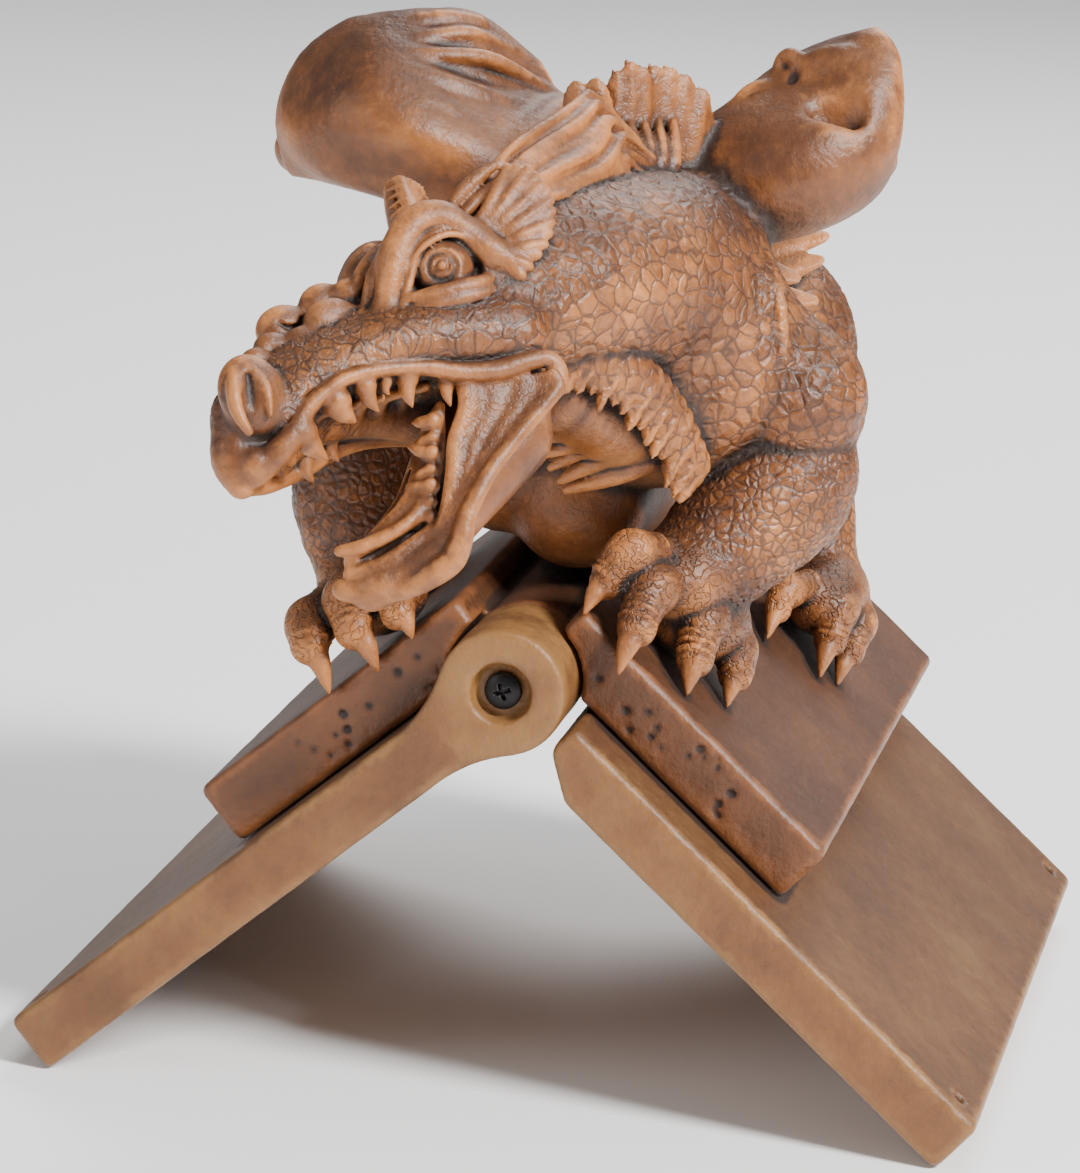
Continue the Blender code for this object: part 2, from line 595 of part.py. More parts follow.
def wings(clay):
    """Both wings, raised and cupped beside the neck."""
    rows = (
        ((-103, 128, 101), (-90, 118, 101), (-76, 112, 103), (-62, 108, 103), (-47, 106, 98),
         (-37, 106, 96)),
        ((-106, 122, 110), (-88, 104, 115), (-73, 98, 117), (-58, 96, 117), (-43, 100, 114),
         (-29, 106, 109)),
        ((-106, 124, 119), (-89, 106, 125), (-74, 100, 128), (-60, 102, 128), (-44, 110, 124),
         (-27, 120, 117)),
        ((-104, 128, 129), (-88, 114, 135), (-75, 108, 138), (-62, 114, 138), (-46, 124, 133),
         (-25, 140, 123)),
        ((-98, 134, 139), (-86, 124, 144), (-75, 120, 146), (-62, 126, 146), (-48, 138, 142),
         (-23, 156, 125)),
        ((-96, 142, 142), (-86, 136, 147), (-74, 134, 150), (-62, 138, 151), (-48, 147, 149),
         (-30, 162, 133)),
        ((-92, 156, 142), (-84, 158, 146), (-74, 162, 147), (-62, 168, 145), (-48, 176, 139),
         (-32, 186, 124)),
    )
    fingers = (
        ((-72, 128, 148), (-58, 134, 152), (-46, 144, 151)),
        ((-70, 122, 144), (-59, 126, 147), (-46, 136, 147), (-36, 151, 140)),
        ((-67, 116, 141), (-52, 122, 142), (-37, 135, 139), (-22, 156, 126)),
        ((-66, 111, 138), (-50, 115, 134), (-35, 127, 127), (-22, 146, 119)),
        ((-66, 106, 132), (-51, 107, 127), (-38, 113, 119), (-28, 122, 111)),
    )
    wing(clay, rows, fingers)
    clay.rod([fig(-18, 110, 78), fig(-37, 108, 97), fig(-63, 108, 106), fig(-85, 112, 110),
              fig(-97, 119, 118), fig(-96, 125, 133), fig(-86, 130, 144)],
             [19, 13, 12, 11, 10, 9, 6])
    rows = (
        ((34, 114, 96), (44, 112, 94), (59, 112, 95), (74, 114, 99), (84, 118, 103),
         (92, 124, 110)),
        ((30, 112, 103), (44, 106, 104), (61, 100, 108), (76, 102, 112), (87, 110, 117),
         (95, 124, 121)),
        ((27, 112, 108), (41, 108, 114), (59, 103, 119), (75, 103, 124), (87, 112, 130),
         (96, 126, 132)),
        ((25, 114, 112), (36, 114, 118), (52, 112, 127), (70, 112, 132), (84, 119, 139),
         (95, 130, 143)),
        ((23, 118, 114), (32, 120, 118), (43, 122, 128), (63, 124, 137), (79, 131, 145),
         (95, 134, 149)),
        ((22, 124, 115), (30, 126, 119), (39, 130, 124), (59, 136, 142), (75, 140, 150),
         (89, 140, 153)),
        ((22, 150, 113), (30, 158, 116), (40, 164, 122), (58, 164, 136), (73, 158, 145),
         (86, 154, 148)),
    )
    folds = (
        ((68, 121, 138), (67, 125, 144), (64, 129, 148), (60, 130, 149), (60, 128, 144)),
        ((46, 121, 131), (47, 122, 137), (54, 125, 141), (63, 123, 137), (54, 118, 134)),
    )
    wing(clay, rows, folds)
    clay.rod([fig(30, 112, 80), fig(36, 112, 100), fig(48, 112, 105), fig(63, 112, 110),
              fig(78, 116, 116), fig(88, 122, 126), fig(91, 128, 140), fig(88, 134, 150)],
             [19, 12, 15, 17, 15, 11, 8, 5])


def flank_tufts(clay):
    """Pointed tufts behind the wings on both flanks."""
    tufts = (((70, 180, 81), (34, 176, 68), 9), ((70, 172, 74), (36, 168, 60), 9),
             ((72, 150, 64), (36, 142, 60), 7), ((60, 160, 88), (28, 160, 74), 8))
    for side in (-1.0, 1.0):
        for tip, base, girth in tufts:
            tip = fig(side * tip[0], tip[1], tip[2])
            base = fig(side * base[0], base[1], base[2])
            clay.rod([base, (base + tip) / 2.0 + shift(0, 0, 2), tip], [girth, girth * 0.7, 1.2])


def mane(clay):
    """Locks that sweep from the brow along the top of the neck, and the crest fins behind."""
    core = [fig(-22, 2, 104), fig(-11, 14, 112), fig(1, 32, 118), fig(11, 52, 123),
            fig(18, 72, 124), fig(25, 98, 120)]
    clay.rod(core, [8, 10, 11, 11, 11, 10])
    top = [fig(-24, -6, 112), fig(-14, 5, 122), fig(-6, 25, 131), fig(4, 50, 137),
           fig(9, 68, 139)]
    low = [fig(-9, -4, 106), fig(4, 12, 113), fig(11, 30, 113), fig(18, 50, 116),
           fig(20, 66, 123)]
    for index in range(6):
        share = index / 5.0
        lock = [a.lerp(b, share) for a, b in zip(top, low)]
        clay.rod(lock, [3.0, 4.4, 5.0, 4.6, 2.6])
    for base, tip, girth in CREST:
        base, tip = fig(*base), fig(*tip)
        for spread in (-1.0, 0.0, 1.0):
            lean = shift(spread * 2.6, spread * 3.0, -abs(spread) * 3.5)
            clay.rod([base + lean * 0.4, (base + tip) / 2.0 + lean, tip + lean * 1.1],
                     [girth, girth * 0.7, 2.4])


def skull(clay):
    """Upper head: cranium, muzzle, beaked nose and nostrils."""
    axes = head_axes()
    clay.ball(on_head(-16, 0, -8), (31, 25, 23), axes)
    clay.ball(on_head(-6, 0, -20), (26, 25, 16), axes)
    clay.rod([on_head(6, 0, -14), on_head(30, 0, -17), on_head(50, 0, -19), on_head(70, 0, -26)],
             [20, 14.5, 12.5, 11.5])
    for side in (-1.0, 1.0):
        clay.rod([on_head(-14, side * 18, -25), on_head(18, side * 15, -18),
                  on_head(48, side * 9, -22)], [12, 10, 8])
        drop = 0.0 if side > 0.0 else 6.0
        clay.ball(on_head(74 - drop / 2.0, side * 11 + drop / 2.0, -22 - drop),
                  (11.5, 7.5, 13), axes)
        clay.rod([on_head(62, side * 8, -18), on_head(52, side * 6, -14)], [6, 3])
    clay.rod([on_head(74, 0, -30), on_head(80, 0, -40), on_head(82, 0, -48)], [10, 7.5, 3.2])
    for along, across, above, girth in ((38, 0, -2, 5.0), (28, 5, -2, 4.5), (28, -6, 0, 4.5),
                                        (54, -2, -7, 4.0), (46, 3, -7, 4.2)):
        clay.ball(on_head(along, across, above), (girth * 1.5, girth, girth), axes)


def lip_path(side):
    """Edge of the upper lip, from the nose to the corner of the mouth."""
    shares = ((79, 4, -47), (70, 12, -44), (63, 16, -37), (55, 19, -31), (46, 21, -27),
              (32, 22, -26), (15, 24, -29), (-3, 26, -34), (-18, 28, -40))
    return [on_head(along, side * across, above) for along, across, above in shares]


def jaw_path(side):
    """Lower edge of the jaw, from the corner of the mouth to the chin."""
    shares = ((-18, 27, -43), (-15, 26, -50), (-4, 24, -58), (8, 22, -65), (18, 19, -73),
              (28, 16, -82), (40, 11, -88), (49, 4, -89))
    return [on_head(along, side * across, above) for along, across, above in shares]


def mouth(clay):
    """Rolled lips, gaping jaws, stretched cheeks, tongue and teeth."""
    axes = head_axes()
    for side in (-1.0, 1.0):
        upper = lip_path(side)
        lower = jaw_path(side)
        clay.rod(upper, [3.6, 3.4, 3.2, 3.2, 3.2, 3.4, 3.6, 3.8, 4.2])
        clay.rod(lower, [5.5, 5.5, 5.0, 5.0, 5.5, 6.0, 6.0, 6.0])
        inner = [on_head(f, side * l, t) for f, l, t in
                 ((-16, 24, -42), (-4, 22, -44), (8, 20, -50), (18, 17, -62), (28, 14, -74),
                  (40, 9, -83), (50, 3, -85))]

        def cheek(across, along, low=lower, high=inner):
            return along_path(low, along).lerp(along_path(high, along), across)
        clay.sheet(cheek, 3, 12, 5.0)
        for index in range(7):
            share = 0.16 + index * 0.10
            root = along_path(upper, share) + axes[1] * (-side * 2.0 * UNIT)
            length = (11.0, 8.0, 7.0, 9.0, 7.0, 6.0, 5.0)[index]
            clay.rod([root, root - axes[2] * (length * UNIT)], [3.2, 0.6])
    clay.ball(on_head(-16, 0, -40), (12, 21, 15), axes)
    clay.rod([on_head(-12, 0, -52), on_head(12, 0, -68), on_head(34, 0, -84), on_head(48, 0, -88)],
             [14, 11, 8, 6])
    clay.rod([on_head(-6, 0, -46), on_head(14, 1, -52), on_head(32, 1, -70), on_head(50, 0, -75),
              on_head(56, 0, -80)], [10, 8.5, 8, 6, 3])


def eyes(clay):
    """Round eyes under heavy arched brows."""
    for side, shift in ((1.0, 0.0), (-1.0, 1.5)):
        clay.ball(on_head(0, side * 17, 0), 9.2, fineness=15)
        clay.ball(on_head(2, side * 11, 6 + shift), (17, 9, 11), head_axes())
        clay.rod([on_head(24, side * 15, -3 + shift), on_head(16, side * 17, 9 + shift),
                  on_head(6, side * 17, 15 + shift), on_head(-4, side * 18, 16.5 + shift),
                  on_head(-14, side * 20, 10 + shift), on_head(-20, side * 22, -2)],
                 [3.0, 4.6, 5.4, 5.6, 5.0, 4.0])
        clay.rod([on_head(13, side * 18, -9), on_head(0, side * 20, -12),
                  on_head(-13, side * 21, -8)], [2.6, 3.2, 2.6])


def ears(clay):
    """Ribbed ear fans that sweep back from the brows."""
    for side in (-1.0, 1.0):
        base = on_head(-16, side * 20, 0)
        for index in range(9):
            share = index / 8.0
            angle = math.radians(118.0 + share * 82.0)
            reach = 27.0 + 5.0 * math.sin(share * math.pi)
            tip = on_head(-18 + reach * math.cos(angle), side * (23 + 3 * share),
                          -2 + reach * math.sin(angle))
            clay.rod([base, (base + tip) / 2.0 + head_axes()[1] * (side * 2.0 * UNIT), tip],
                     [5.5, 4.2, 2.2])


def dragon_clay():
    """All the figure's lumps, overlapping each other and the saddle."""
    clay = Clay()
    for shape in (torso, neck, chest_fringe, tail, legs, wings, flank_tufts, mane, skull, mouth,
                  eyes, ears):
        shape(clay)
    return clay.finish()


def dragon_and_saddle(group, cutters, finish):
    """The figure and its saddle, cast as one."""
    thing = mesh_object("dragon_and_saddle", dragon_clay(), group)
    fuse = thing.modifiers.new("fuse", "REMESH")
    fuse.mode = "VOXEL"
    fuse.voxel_size = FIGURE_VOXEL
    soften = thing.modifiers.new("soften", "SMOOTH")
    soften.factor = 0.5
    soften.iterations = 2
    fused = settled(thing)
    thin = thing.modifiers.new("thin out", "DECIMATE")
    thin.ratio = min(1.0, FIGURE_TRIANGLES / len(fused.loop_triangles))
    settled(thing)
    tool = combine(thing, saddle_mesh(cutters), "UNION", cutters, "saddle")
    settled(thing)
    bpy.data.objects.remove(tool, do_unlink=True)
    thing.data.materials.clear()
    thing.data.materials.append(finish)
    return thing


def place_all(things):
    """Hang everything on the hinge point and stand the whole on the ground, centred."""
    hinge = bpy.data.objects.new("hinge_point", None)
    bpy.context.scene.collection.objects.link(hinge)
    bpy.context.view_layer.update()
    graph = bpy.context.evaluated_depsgraph_get()
    corners = []
    for thing in things:
        corners += [Vector(corner) for corner in thing.evaluated_get(graph).bound_box]
        thing.parent = hinge
    low = [min(corner[axis] for corner in corners) for axis in range(3)]
    high = [max(corner[axis] for corner in corners) for axis in range(3)]
    hinge.location = (-(low[0] + high[0]) / 2.0, -(low[1] + high[1]) / 2.0, -low[2])
    return hinge


def main():
    """Build the sculpture."""
    clear_scene()
    group = new_collection("dragon roof sculpture")
    cutters = new_collection("cutters")
    cast = material("patinated resin", DARK_COPPER, 0.5, 0.1)
    plate = material("terracotta resin", TERRACOTTA, 0.6, 0.05)
    steel = material("blackened steel", BLACK_STEEL, 0.4, 1.0)
    things = [
        dragon_and_saddle(group, cutters, cast),
        leaf("left_leaf", -1.0, 0.0, group, cutters, plate),
        leaf("right_leaf", 1.0, LEAF_DEPTH - KNUCKLE_LENGTH, group, cutters, plate),
        hinge_screw("front_hinge_screw", True, group, cutters, steel),
        hinge_screw("rear_hinge_screw", False, group, cutters, steel),
    ]
    hinge = place_all(things)
    for tool in cutters.objects:
        tool.parent = hinge
    bpy.context.view_layer.update()


main()
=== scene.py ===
"""A cast resin dragon on a ridge saddle, with the two hinged leaves that lie on the roof.

The dragon and its saddle are modelled in clay: lumps, rods and sheets are pressed together on
a grid of distances and meshed in blocks that dip under each other where they meet. Places are in
figure millimetres: x and y from the hinge axis and the leaves' front, z from the saddle's ridge.
"""

import json
import math

import bpy
import numpy as np
import openvdb as vdb
from mathutils import Matrix, Vector


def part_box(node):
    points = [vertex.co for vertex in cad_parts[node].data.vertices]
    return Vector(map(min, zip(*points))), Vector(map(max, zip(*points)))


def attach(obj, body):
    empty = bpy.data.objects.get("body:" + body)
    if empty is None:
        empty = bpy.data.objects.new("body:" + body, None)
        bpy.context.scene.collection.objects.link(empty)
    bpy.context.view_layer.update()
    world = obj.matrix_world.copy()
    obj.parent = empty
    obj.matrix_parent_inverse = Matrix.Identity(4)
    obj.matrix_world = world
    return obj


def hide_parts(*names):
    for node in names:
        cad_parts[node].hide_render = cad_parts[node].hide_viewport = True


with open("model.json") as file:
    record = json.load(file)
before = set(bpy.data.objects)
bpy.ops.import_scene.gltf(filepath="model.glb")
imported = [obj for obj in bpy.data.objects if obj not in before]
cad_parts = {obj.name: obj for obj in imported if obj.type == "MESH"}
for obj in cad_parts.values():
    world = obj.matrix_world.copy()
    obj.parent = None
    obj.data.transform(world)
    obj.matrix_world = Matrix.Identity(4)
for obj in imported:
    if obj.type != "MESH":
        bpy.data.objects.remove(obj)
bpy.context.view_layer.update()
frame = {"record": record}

bl_info = {
    "name": "Dragon roof sculpture",
    "version": (1, 0, 0),
    "blender": (4, 5, 0),
    "location": "3D View > Sidebar > Dragon",
    "description": "Models a cast dragon, its ridge saddle, the roof leaves and the studio",
    "category": "Object",
}

MM = 0.001
LEFT_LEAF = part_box("left_leaf")
HINGE_Z = frame["record"]["behaviour"]["joints"][0]["pos_m"][2]
FRONT_Y = LEFT_LEAF[0][1]

# The casting, in millimetres
ROOF_SLOPE = math.radians(41.0)
LEAF_DEPTH = 281.0
LEAF_REACH = 205.0
LEAF_TOP = 9.2
FIXING_INSET = 10.5
SADDLE_BOTTOM = 9.6
SADDLE_THICKNESS = 22.2
SADDLE_REACH = 110.6
SADDLE_SETBACK = 22.3
SADDLE_EDGE = 3.0
KNUCKLE_LENGTH = 40.0
CLEARANCE = 0.4
CHANNEL_RADIUS = 22.2
LUG_RADIUS = 20.5
RIDGE = (SADDLE_BOTTOM + SADDLE_THICKNESS) / math.cos(ROOF_SLOPE)
PLACE = np.array((0.0, FRONT_Y, HINGE_Z + RIDGE * MM))

HEAD_PLACE = np.array((-28.0, -13.0, 89.0))
HEAD_YAW = math.radians(-134.0)
HEAD_PITCH = math.radians(-8.5)
HEAD_ROLL = math.radians(28.8)

# How far a block runs on past its cut, and how steeply it dips under its neighbour there
OVERLAP = 3.5
DIP = 0.07
FAR = 12.0

# Surface of a lump: share of cracked plates, how small they are, share of creased skin
SMOOTH = (0.0, 0.0, 0.0)
PLATED = (1.0, 0.0, 0.0)
FINE_PLATED = (1.0, 1.0, 0.0)
HALF_PLATED = (1.0, 0.5, 0.0)
CREASED = (0.0, 0.0, 0.6)
STREAKED = (0.0, 0.0, 0.12)
MARKS = ("plates", "small", "creases")

# How far round a place the fine and the broad hollows are felt
FINE_REACH = 1.9
BROAD_REACH = 6.5

# Triangles that the smaller pieces may have
SADDLE_TRIANGLES = 110000
LEAF_TRIANGLES = 70000
SCREW_TRIANGLES = 20000

SCREW_GRAIN = 0.3

# Casting pits in each half of the saddle's front
PIT_COUNT = 22
PIT_SEED = 41

# Scales of the cloudy patterns, in turns per metre, from the broadest to the finest
DRIFT_SCALE = 11.0
CLOUD_SCALE = 24.0
DUST_SCALE = 42.0
WAVE_SCALE = 75.0
WANDER_SCALE = 110.0
RIPPLE_SCALE = 160.0
SPECKLE_SCALE = 260.0
CREASE_SCALE = 330.0
GRAIN_SCALE = 520.0
RAGGED_SCALE = 900.0

# Lamps: name, place, size in metres and energy in watts
LAMPS = (("key", (1.9, -1.05, 2.0), 0.6, 175.0), ("fill", (-1.8, -1.5, 1.1), 1.2, 17.0),
         ("back", (0.2, 1.8, 1.9), 1.2, 48.0))
LAMP_AIM = (0.0, 0.0, 0.18)
SKY_STRENGTH = 0.34
FLOOR_TONE = 0.93
FLOOR_REACH = 6.0
FLOOR_DROP = 0.0006

# Camera: lens in millimetres, place from the hinge at the leaves' front, and its directions
CAMERA_LENS = 153.95
CAMERA_PLACE = (0.31340, -1.50140, 0.41559)
CAMERA_RIGHT = (0.97742, 0.20712, 0.04186)
CAMERA_UP = (-0.08962, 0.22694, 0.96978)
CAMERA_BACK = (0.19136, -0.95163, 0.24037)


def vec(*numbers):
    """A place or a direction."""
    return np.array(numbers, float)


def unit(vector):
    """A direction of length one."""
    return vector / np.linalg.norm(vector)


def head_axes():
    """Directions forwards, to the left and up from the head."""
    level = vec(math.sin(HEAD_YAW), math.cos(HEAD_YAW), 0.0)
    forward = level * math.cos(HEAD_PITCH) + vec(0.0, 0.0, math.sin(HEAD_PITCH))
    left = unit(np.cross(vec(0.0, 0.0, 1.0), forward))
    up = np.cross(forward, left)
    rolled = left * math.cos(HEAD_ROLL) + up * math.sin(HEAD_ROLL)
    return forward, rolled, np.cross(forward, rolled)


HEAD = head_axes()


def on_head(forward, left, up):
    """Place given from the middle of the head between the eyes."""
    return HEAD_PLACE + HEAD[0] * forward + HEAD[1] * left + HEAD[2] * up


def head_line(*places):
    """Places on the head as a list."""
    return [on_head(*place) for place in places]


def on_saddle(side, along, y, above):
    """Place given down the saddle's slope from the ridge and above it."""
    x = along * math.cos(ROOF_SLOPE) + above * math.sin(ROOF_SLOPE)
    z = above * math.cos(ROOF_SLOPE) - along * math.sin(ROOF_SLOPE)
    return vec(side * x, y, z)


def smooth_path(path, count):
    """Evenly shared points of a smooth curve through the given ones."""
    path = np.asarray(path, float)
    spots = np.linspace(0.0, len(path) - 1.0, count)
    index = np.minimum(spots.astype(int), len(path) - 2)
    t = (spots - index).reshape((-1,) + (1,) * (path.ndim - 1))
    before = path[np.maximum(index - 1, 0)]
    a, b = path[index], path[index + 1]
    after = path[np.minimum(index + 2, len(path) - 1)]
    return 0.5 * (2.0 * a + (b - before) * t + (2.0 * before - 5.0 * a + 4.0 * b - after) * t * t
                  + (3.0 * a - before - 3.0 * b + after) * t ** 3)


def net(rows, along, across):
    """Points of a smooth surface through a net of places."""
    lines = np.array([smooth_path(row, across) for row in rows])
    return smooth_path(lines, along)


def shares(count):
    """Whole numbers from nought, each with its share of the way to the last."""
    return [(index, index / (count - 1.0)) for index in range(count)]


class Clay:
    """A block of clay, kept as the distance to its surface on a grid of figure millimetres."""

    def __init__(self, low, high, step):
        self.low = np.array(low, float)
        self.step = step
        self.shape = tuple(int(n) + 1 for n in np.ceil((np.array(high) - self.low) / step))
        self.whole = tuple(slice(0, size) for size in self.shape)
        self.field = np.full(self.shape, FAR, np.float32)
        self.marks = [np.zeros(self.shape, np.float32) for _ in MARKS]
        self.axes = [self.low[axis] + step * np.arange(self.shape[axis]) for axis in range(3)]

    def window(self, low, high):
        """Part of the grid round a box, or None if the box misses it."""
        first = np.maximum(np.floor((low - self.low) / self.step).astype(int), 0)
        last = np.minimum(np.ceil((high - self.low) / self.step).astype(int) + 1, self.shape)
        if np.any(first >= last):
            return None
        return tuple(slice(a, b) for a, b in zip(first, last))

    def places(self, window):
        """Coordinates of a part of the grid, as three open arrays."""
        x, y, z = (self.axes[axis][window[axis]].astype(np.float32) for axis in range(3))
        return x[:, None, None], y[None, :, None], z[None, None, :]

    def add(self, window, distance, blend, marks):
        """Press a lump on and smooth it over the seam."""
        field = self.field[window]
        share = np.clip(0.5 + 0.5 * (field - distance) / blend, 0.0, 1.0)
        self.field[window] = field + (distance - field) * share - blend * share * (1.0 - share)
        for kept, value in zip(self.marks, marks):
            kept[window] += (value - kept[window]) * share

    def cut(self, window, distance, blend):
        """Carve a lump out."""
        field = self.field[window]
        share = np.clip(0.5 - 0.5 * (field + distance) / blend, 0.0, 1.0)
        self.field[window] = field + (-distance - field) * share + blend * share * (1.0 - share)

    def rod_distance(self, path, radii, pieces, reach):
        """Distance to a round rod that swells and narrows along a smooth path."""
        count = pieces * (len(path) - 1) + 1
        points = smooth_path(path, count)
        girths = np.maximum(smooth_path(radii, count), 0.25)
        pad = girths.max() + reach
        window = self.window(points.min(0) - pad, points.max(0) + pad)
        if window is None:
            return None, None
        result = np.full([part.stop - part.start for part in window], FAR, np.float32)
        for a, b, start, end in zip(points, points[1:], girths, girths[1:]):
            pad = max(start, end) + reach
            part = self.window(np.minimum(a, b) - pad, np.maximum(a, b) + pad)
            if part is None:
                continue
            x, y, z = (axis - np.float32(middle) for axis, middle in zip(self.places(part), a))
            step = (b - a).astype(np.float32)
            share = (x * step[0] + y * step[1] + z * step[2]) / np.float32(max(step @ step, 1e-6))
            np.clip(share, 0.0, 1.0, out=share)
            distance = np.sqrt((x - share * step[0]) ** 2 + (y - share * step[1]) ** 2
                               + (z - share * step[2]) ** 2)
            distance -= np.float32(start) + share * np.float32(end - start)
            inner = tuple(slice(p.start - w.start, p.stop - w.start) for p, w in zip(part, window))
            np.minimum(result[inner], distance, out=result[inner])
        return window, result

    def rod(self, path, radii, blend=2.0, marks=SMOOTH, pieces=4):
        """Press a round rod on."""
        window, distance = self.rod_distance(path, radii, pieces, blend + 2.0)
        if window is not None:
            self.add(window, distance, blend, marks)

    def groove(self, path, radii, blend=0.8, pieces=4):
        """Carve a round groove along a smooth path."""
        window, distance = self.rod_distance(path, radii, pieces, blend + 2.0)
        if window is not None:
            self.cut(window, distance, blend)

    def ball_distance(self, centre, radii, turn, reach):
        """Distance to an ellipsoid whose radii lie along the given directions."""
        radii = np.array((radii,) * 3 if isinstance(radii, (int, float)) else radii, float)
        pad = radii.max() + reach
        window = self.window(np.asarray(centre) - pad, np.asarray(centre) + pad)
        if window is None:
            return None, None
        x, y, z = (axis - np.float32(middle) for axis, middle in zip(self.places(window), centre))
        near, steep = 0.0, 0.0
        for direction, radius in zip(np.eye(3) if turn is None else np.array(turn), radii):
            across = (x * np.float32(direction[0]) + y * np.float32(direction[1])
                      + z * np.float32(direction[2])) / np.float32(radius)
            near = near + across * across
            steep = steep + (across / np.float32(radius)) ** 2
        near = np.sqrt(near)
        return window, near * (near - 1.0) / np.sqrt(np.maximum(steep, 1e-9))

    def ball(self, centre, radii, turn=None, blend=3.0, marks=SMOOTH):
        """Press an ellipsoid on."""
        window, distance = self.ball_distance(centre, radii, turn, blend + 2.0)
        if window is not None:
            self.add(window, distance, blend, marks)

    def hollow(self, centre, radii, turn=None, blend=1.0):
        """Carve an ellipsoid out."""
        window, distance = self.ball_distance(centre, radii, turn, blend + 2.0)
        if window is not None:
            self.cut(window, distance, blend)

    def sheet(self, points, thickness, blend=2.0, marks=SMOOTH):
        """Press on a sheet that runs through an array of points."""
        rows, columns = points.shape[:2]
        normal = np.cross(np.gradient(points, axis=1), np.gradient(points, axis=0))
        normal /= np.maximum(np.linalg.norm(normal, axis=2, keepdims=True), 1e-9)
        front = (points + normal * thickness / 2.0).reshape(-1, 3)
        back = (points - normal * thickness / 2.0).reshape(-1, 3)
        index = np.arange(rows * columns).reshape(rows, columns)
        quads = [np.stack((index[:-1, :-1], index[:-1, 1:], index[1:, 1:], index[1:, :-1]), -1)]
        quads.append(quads[0][..., ::-1] + index.size)
        edge = np.concatenate((index[0, :-1], index[:-1, -1], index[-1, :0:-1], index[:0:-1, 0]))
        after = np.roll(edge, -1)
        quads.append(np.stack((after, edge, edge + index.size, after + index.size), -1))
        quads = np.concatenate([part.reshape(-1, 4) for part in quads]).astype(np.uint32)
        solid = np.concatenate((front, back))
        window = self.window(solid.min(0) - 4.0, solid.max(0) + 4.0)
        if window is None:
            return
        shape = vdb.FloatGrid.createLevelSetFromPolygons(
            ((solid - self.low) / self.step).astype(np.float32), quads=quads,
            transform=vdb.createLinearTransform(voxelSize=1.0), halfWidth=4.0 / self.step)
        distance = np.empty([part.stop - part.start for part in window], np.float32)
        shape.copyToArray(distance, ijk=tuple(part.start for part in window))
        self.add(window, distance * self.step, blend, marks)

    def plate(self, side, along, above, depth, corner):
        """Press on a slab that lies down the roof's slope."""
        x, y, z = self.places(self.whole)
        x = x * np.float32(side)
        z = z + np.float32(RIDGE)
        down = x * math.cos(ROOF_SLOPE) - z * math.sin(ROOF_SLOPE)
        up = x * math.sin(ROOF_SLOPE) + z * math.cos(ROOF_SLOPE)
        parts = []
        for value, (low, high) in ((down, along), (up, above), (y, depth)):
            parts.append(np.abs(value - (low + high) / 2.0) - ((high - low) / 2.0 - corner))
        outside = np.sqrt(sum(np.maximum(part, 0.0) ** 2 for part in parts))
        inside = np.minimum(np.maximum(np.maximum(parts[0], parts[1]), parts[2]), 0.0)
        self.add(self.whole, (outside + inside - corner).astype(np.float32), 1.0, SMOOTH)

    def keep(self, zone):
        """Keep what lies in a zone, and let the surface dip just past its edge."""
        beyond = zone(*self.places(self.whole)).astype(np.float32)
        self.field = np.maximum(self.field + np.maximum(beyond, 0.0) * DIP, beyond - OVERLAP)

    def sample(self, values, points):
        """Values of a grid at points, between its nodes."""
        spots = np.clip((points - self.low) / self.step, 0.0, np.array(self.shape) - 1.001)
        base = spots.astype(int)
        share = spots - base
        total = 0.0
        for corner in range(8):
            pick = [(corner >> axis) & 1 for axis in range(3)]
            weight = 1.0
            for axis in range(3):
                weight = weight * (share[:, axis] if pick[axis] else 1.0 - share[:, axis])
            total = total + weight * values[tuple(base[:, axis] + pick[axis] for axis in range(3))]
        return total

    def blurred(self, reach):
        """The distances averaged over a box round each node."""
        span = max(1, int(round(reach / self.step)))
        result = np.clip(self.field, -8.0, 8.0).astype(np.float64)
        for axis in range(3):
            pads = [(0, 0)] * 3
            pads[axis] = (span + 1, span)
            total = np.cumsum(np.pad(result, pads, mode="edge"), axis=axis)
            upper = np.take(total, range(2 * span + 1, total.shape[axis]), axis=axis)
            lower = np.take(total, range(0, total.shape[axis] - 2 * span - 1), axis=axis)
            result = (upper - lower) / (2 * span + 1)
        return result.astype(np.float32)

    def mesh(self, name, kept):
        """Closed mesh of the surface, with the given grids kept on its points."""
        closed = np.full(self.shape, 3.0, np.float32)
        edge = (slice(1, -1),) * 3
        closed[edge] = np.clip(self.field, -3.0, 3.0)[edge]
        grid = vdb.FloatGrid(3.0)
        grid.copyFromArray(closed, tolerance=0.0)
        spots, quads = grid.convertToQuads(0.0)
        points = self.low + spots * self.step
        mesh = bpy.data.meshes.new(name)
        mesh.vertices.add(len(points))
        mesh.vertices.foreach_set("co", (points * MM + PLACE).astype(np.float32).ravel())
        mesh.loops.add(quads.size)
        mesh.loops.foreach_set("vertex_index", quads[:, ::-1].astype(np.int32).ravel())
        mesh.polygons.add(len(quads))
        mesh.polygons.foreach_set("loop_start", np.arange(0, quads.size, 4, dtype=np.int32))
        mesh.update(calc_edges=True)
        mesh.validate()
        for label, values in kept.items():
            layer = mesh.attributes.new(label, "FLOAT", "POINT")
            layer.data.foreach_set("value", self.sample(values, points).astype(np.float32))
        mesh.shade_smooth()
        return mesh


# Forms of the figure

def torso(clay):
    """Deep chest, back and rump lying along the ridge."""
    clay.rod([(16, 66, 50), (12, 92, 60), (6, 138, 60), (2, 188, 46), (0, 226, 28)],
             [33, 46, 44, 44, 30], 4, PLATED)
    clay.rod([(8, 76, 6), (2, 150, 2), (0, 222, 2)], [23, 28, 22], 6, STREAKED)
    clay.ball(vec(-18, 80, 14), (22, 20, 22), None, 6, STREAKED)
    for side in (-1.0, 1.0):
        clay.ball(vec(side * 34 + 10, 84, 52), (34, 34, 36), None, 10, PLATED)


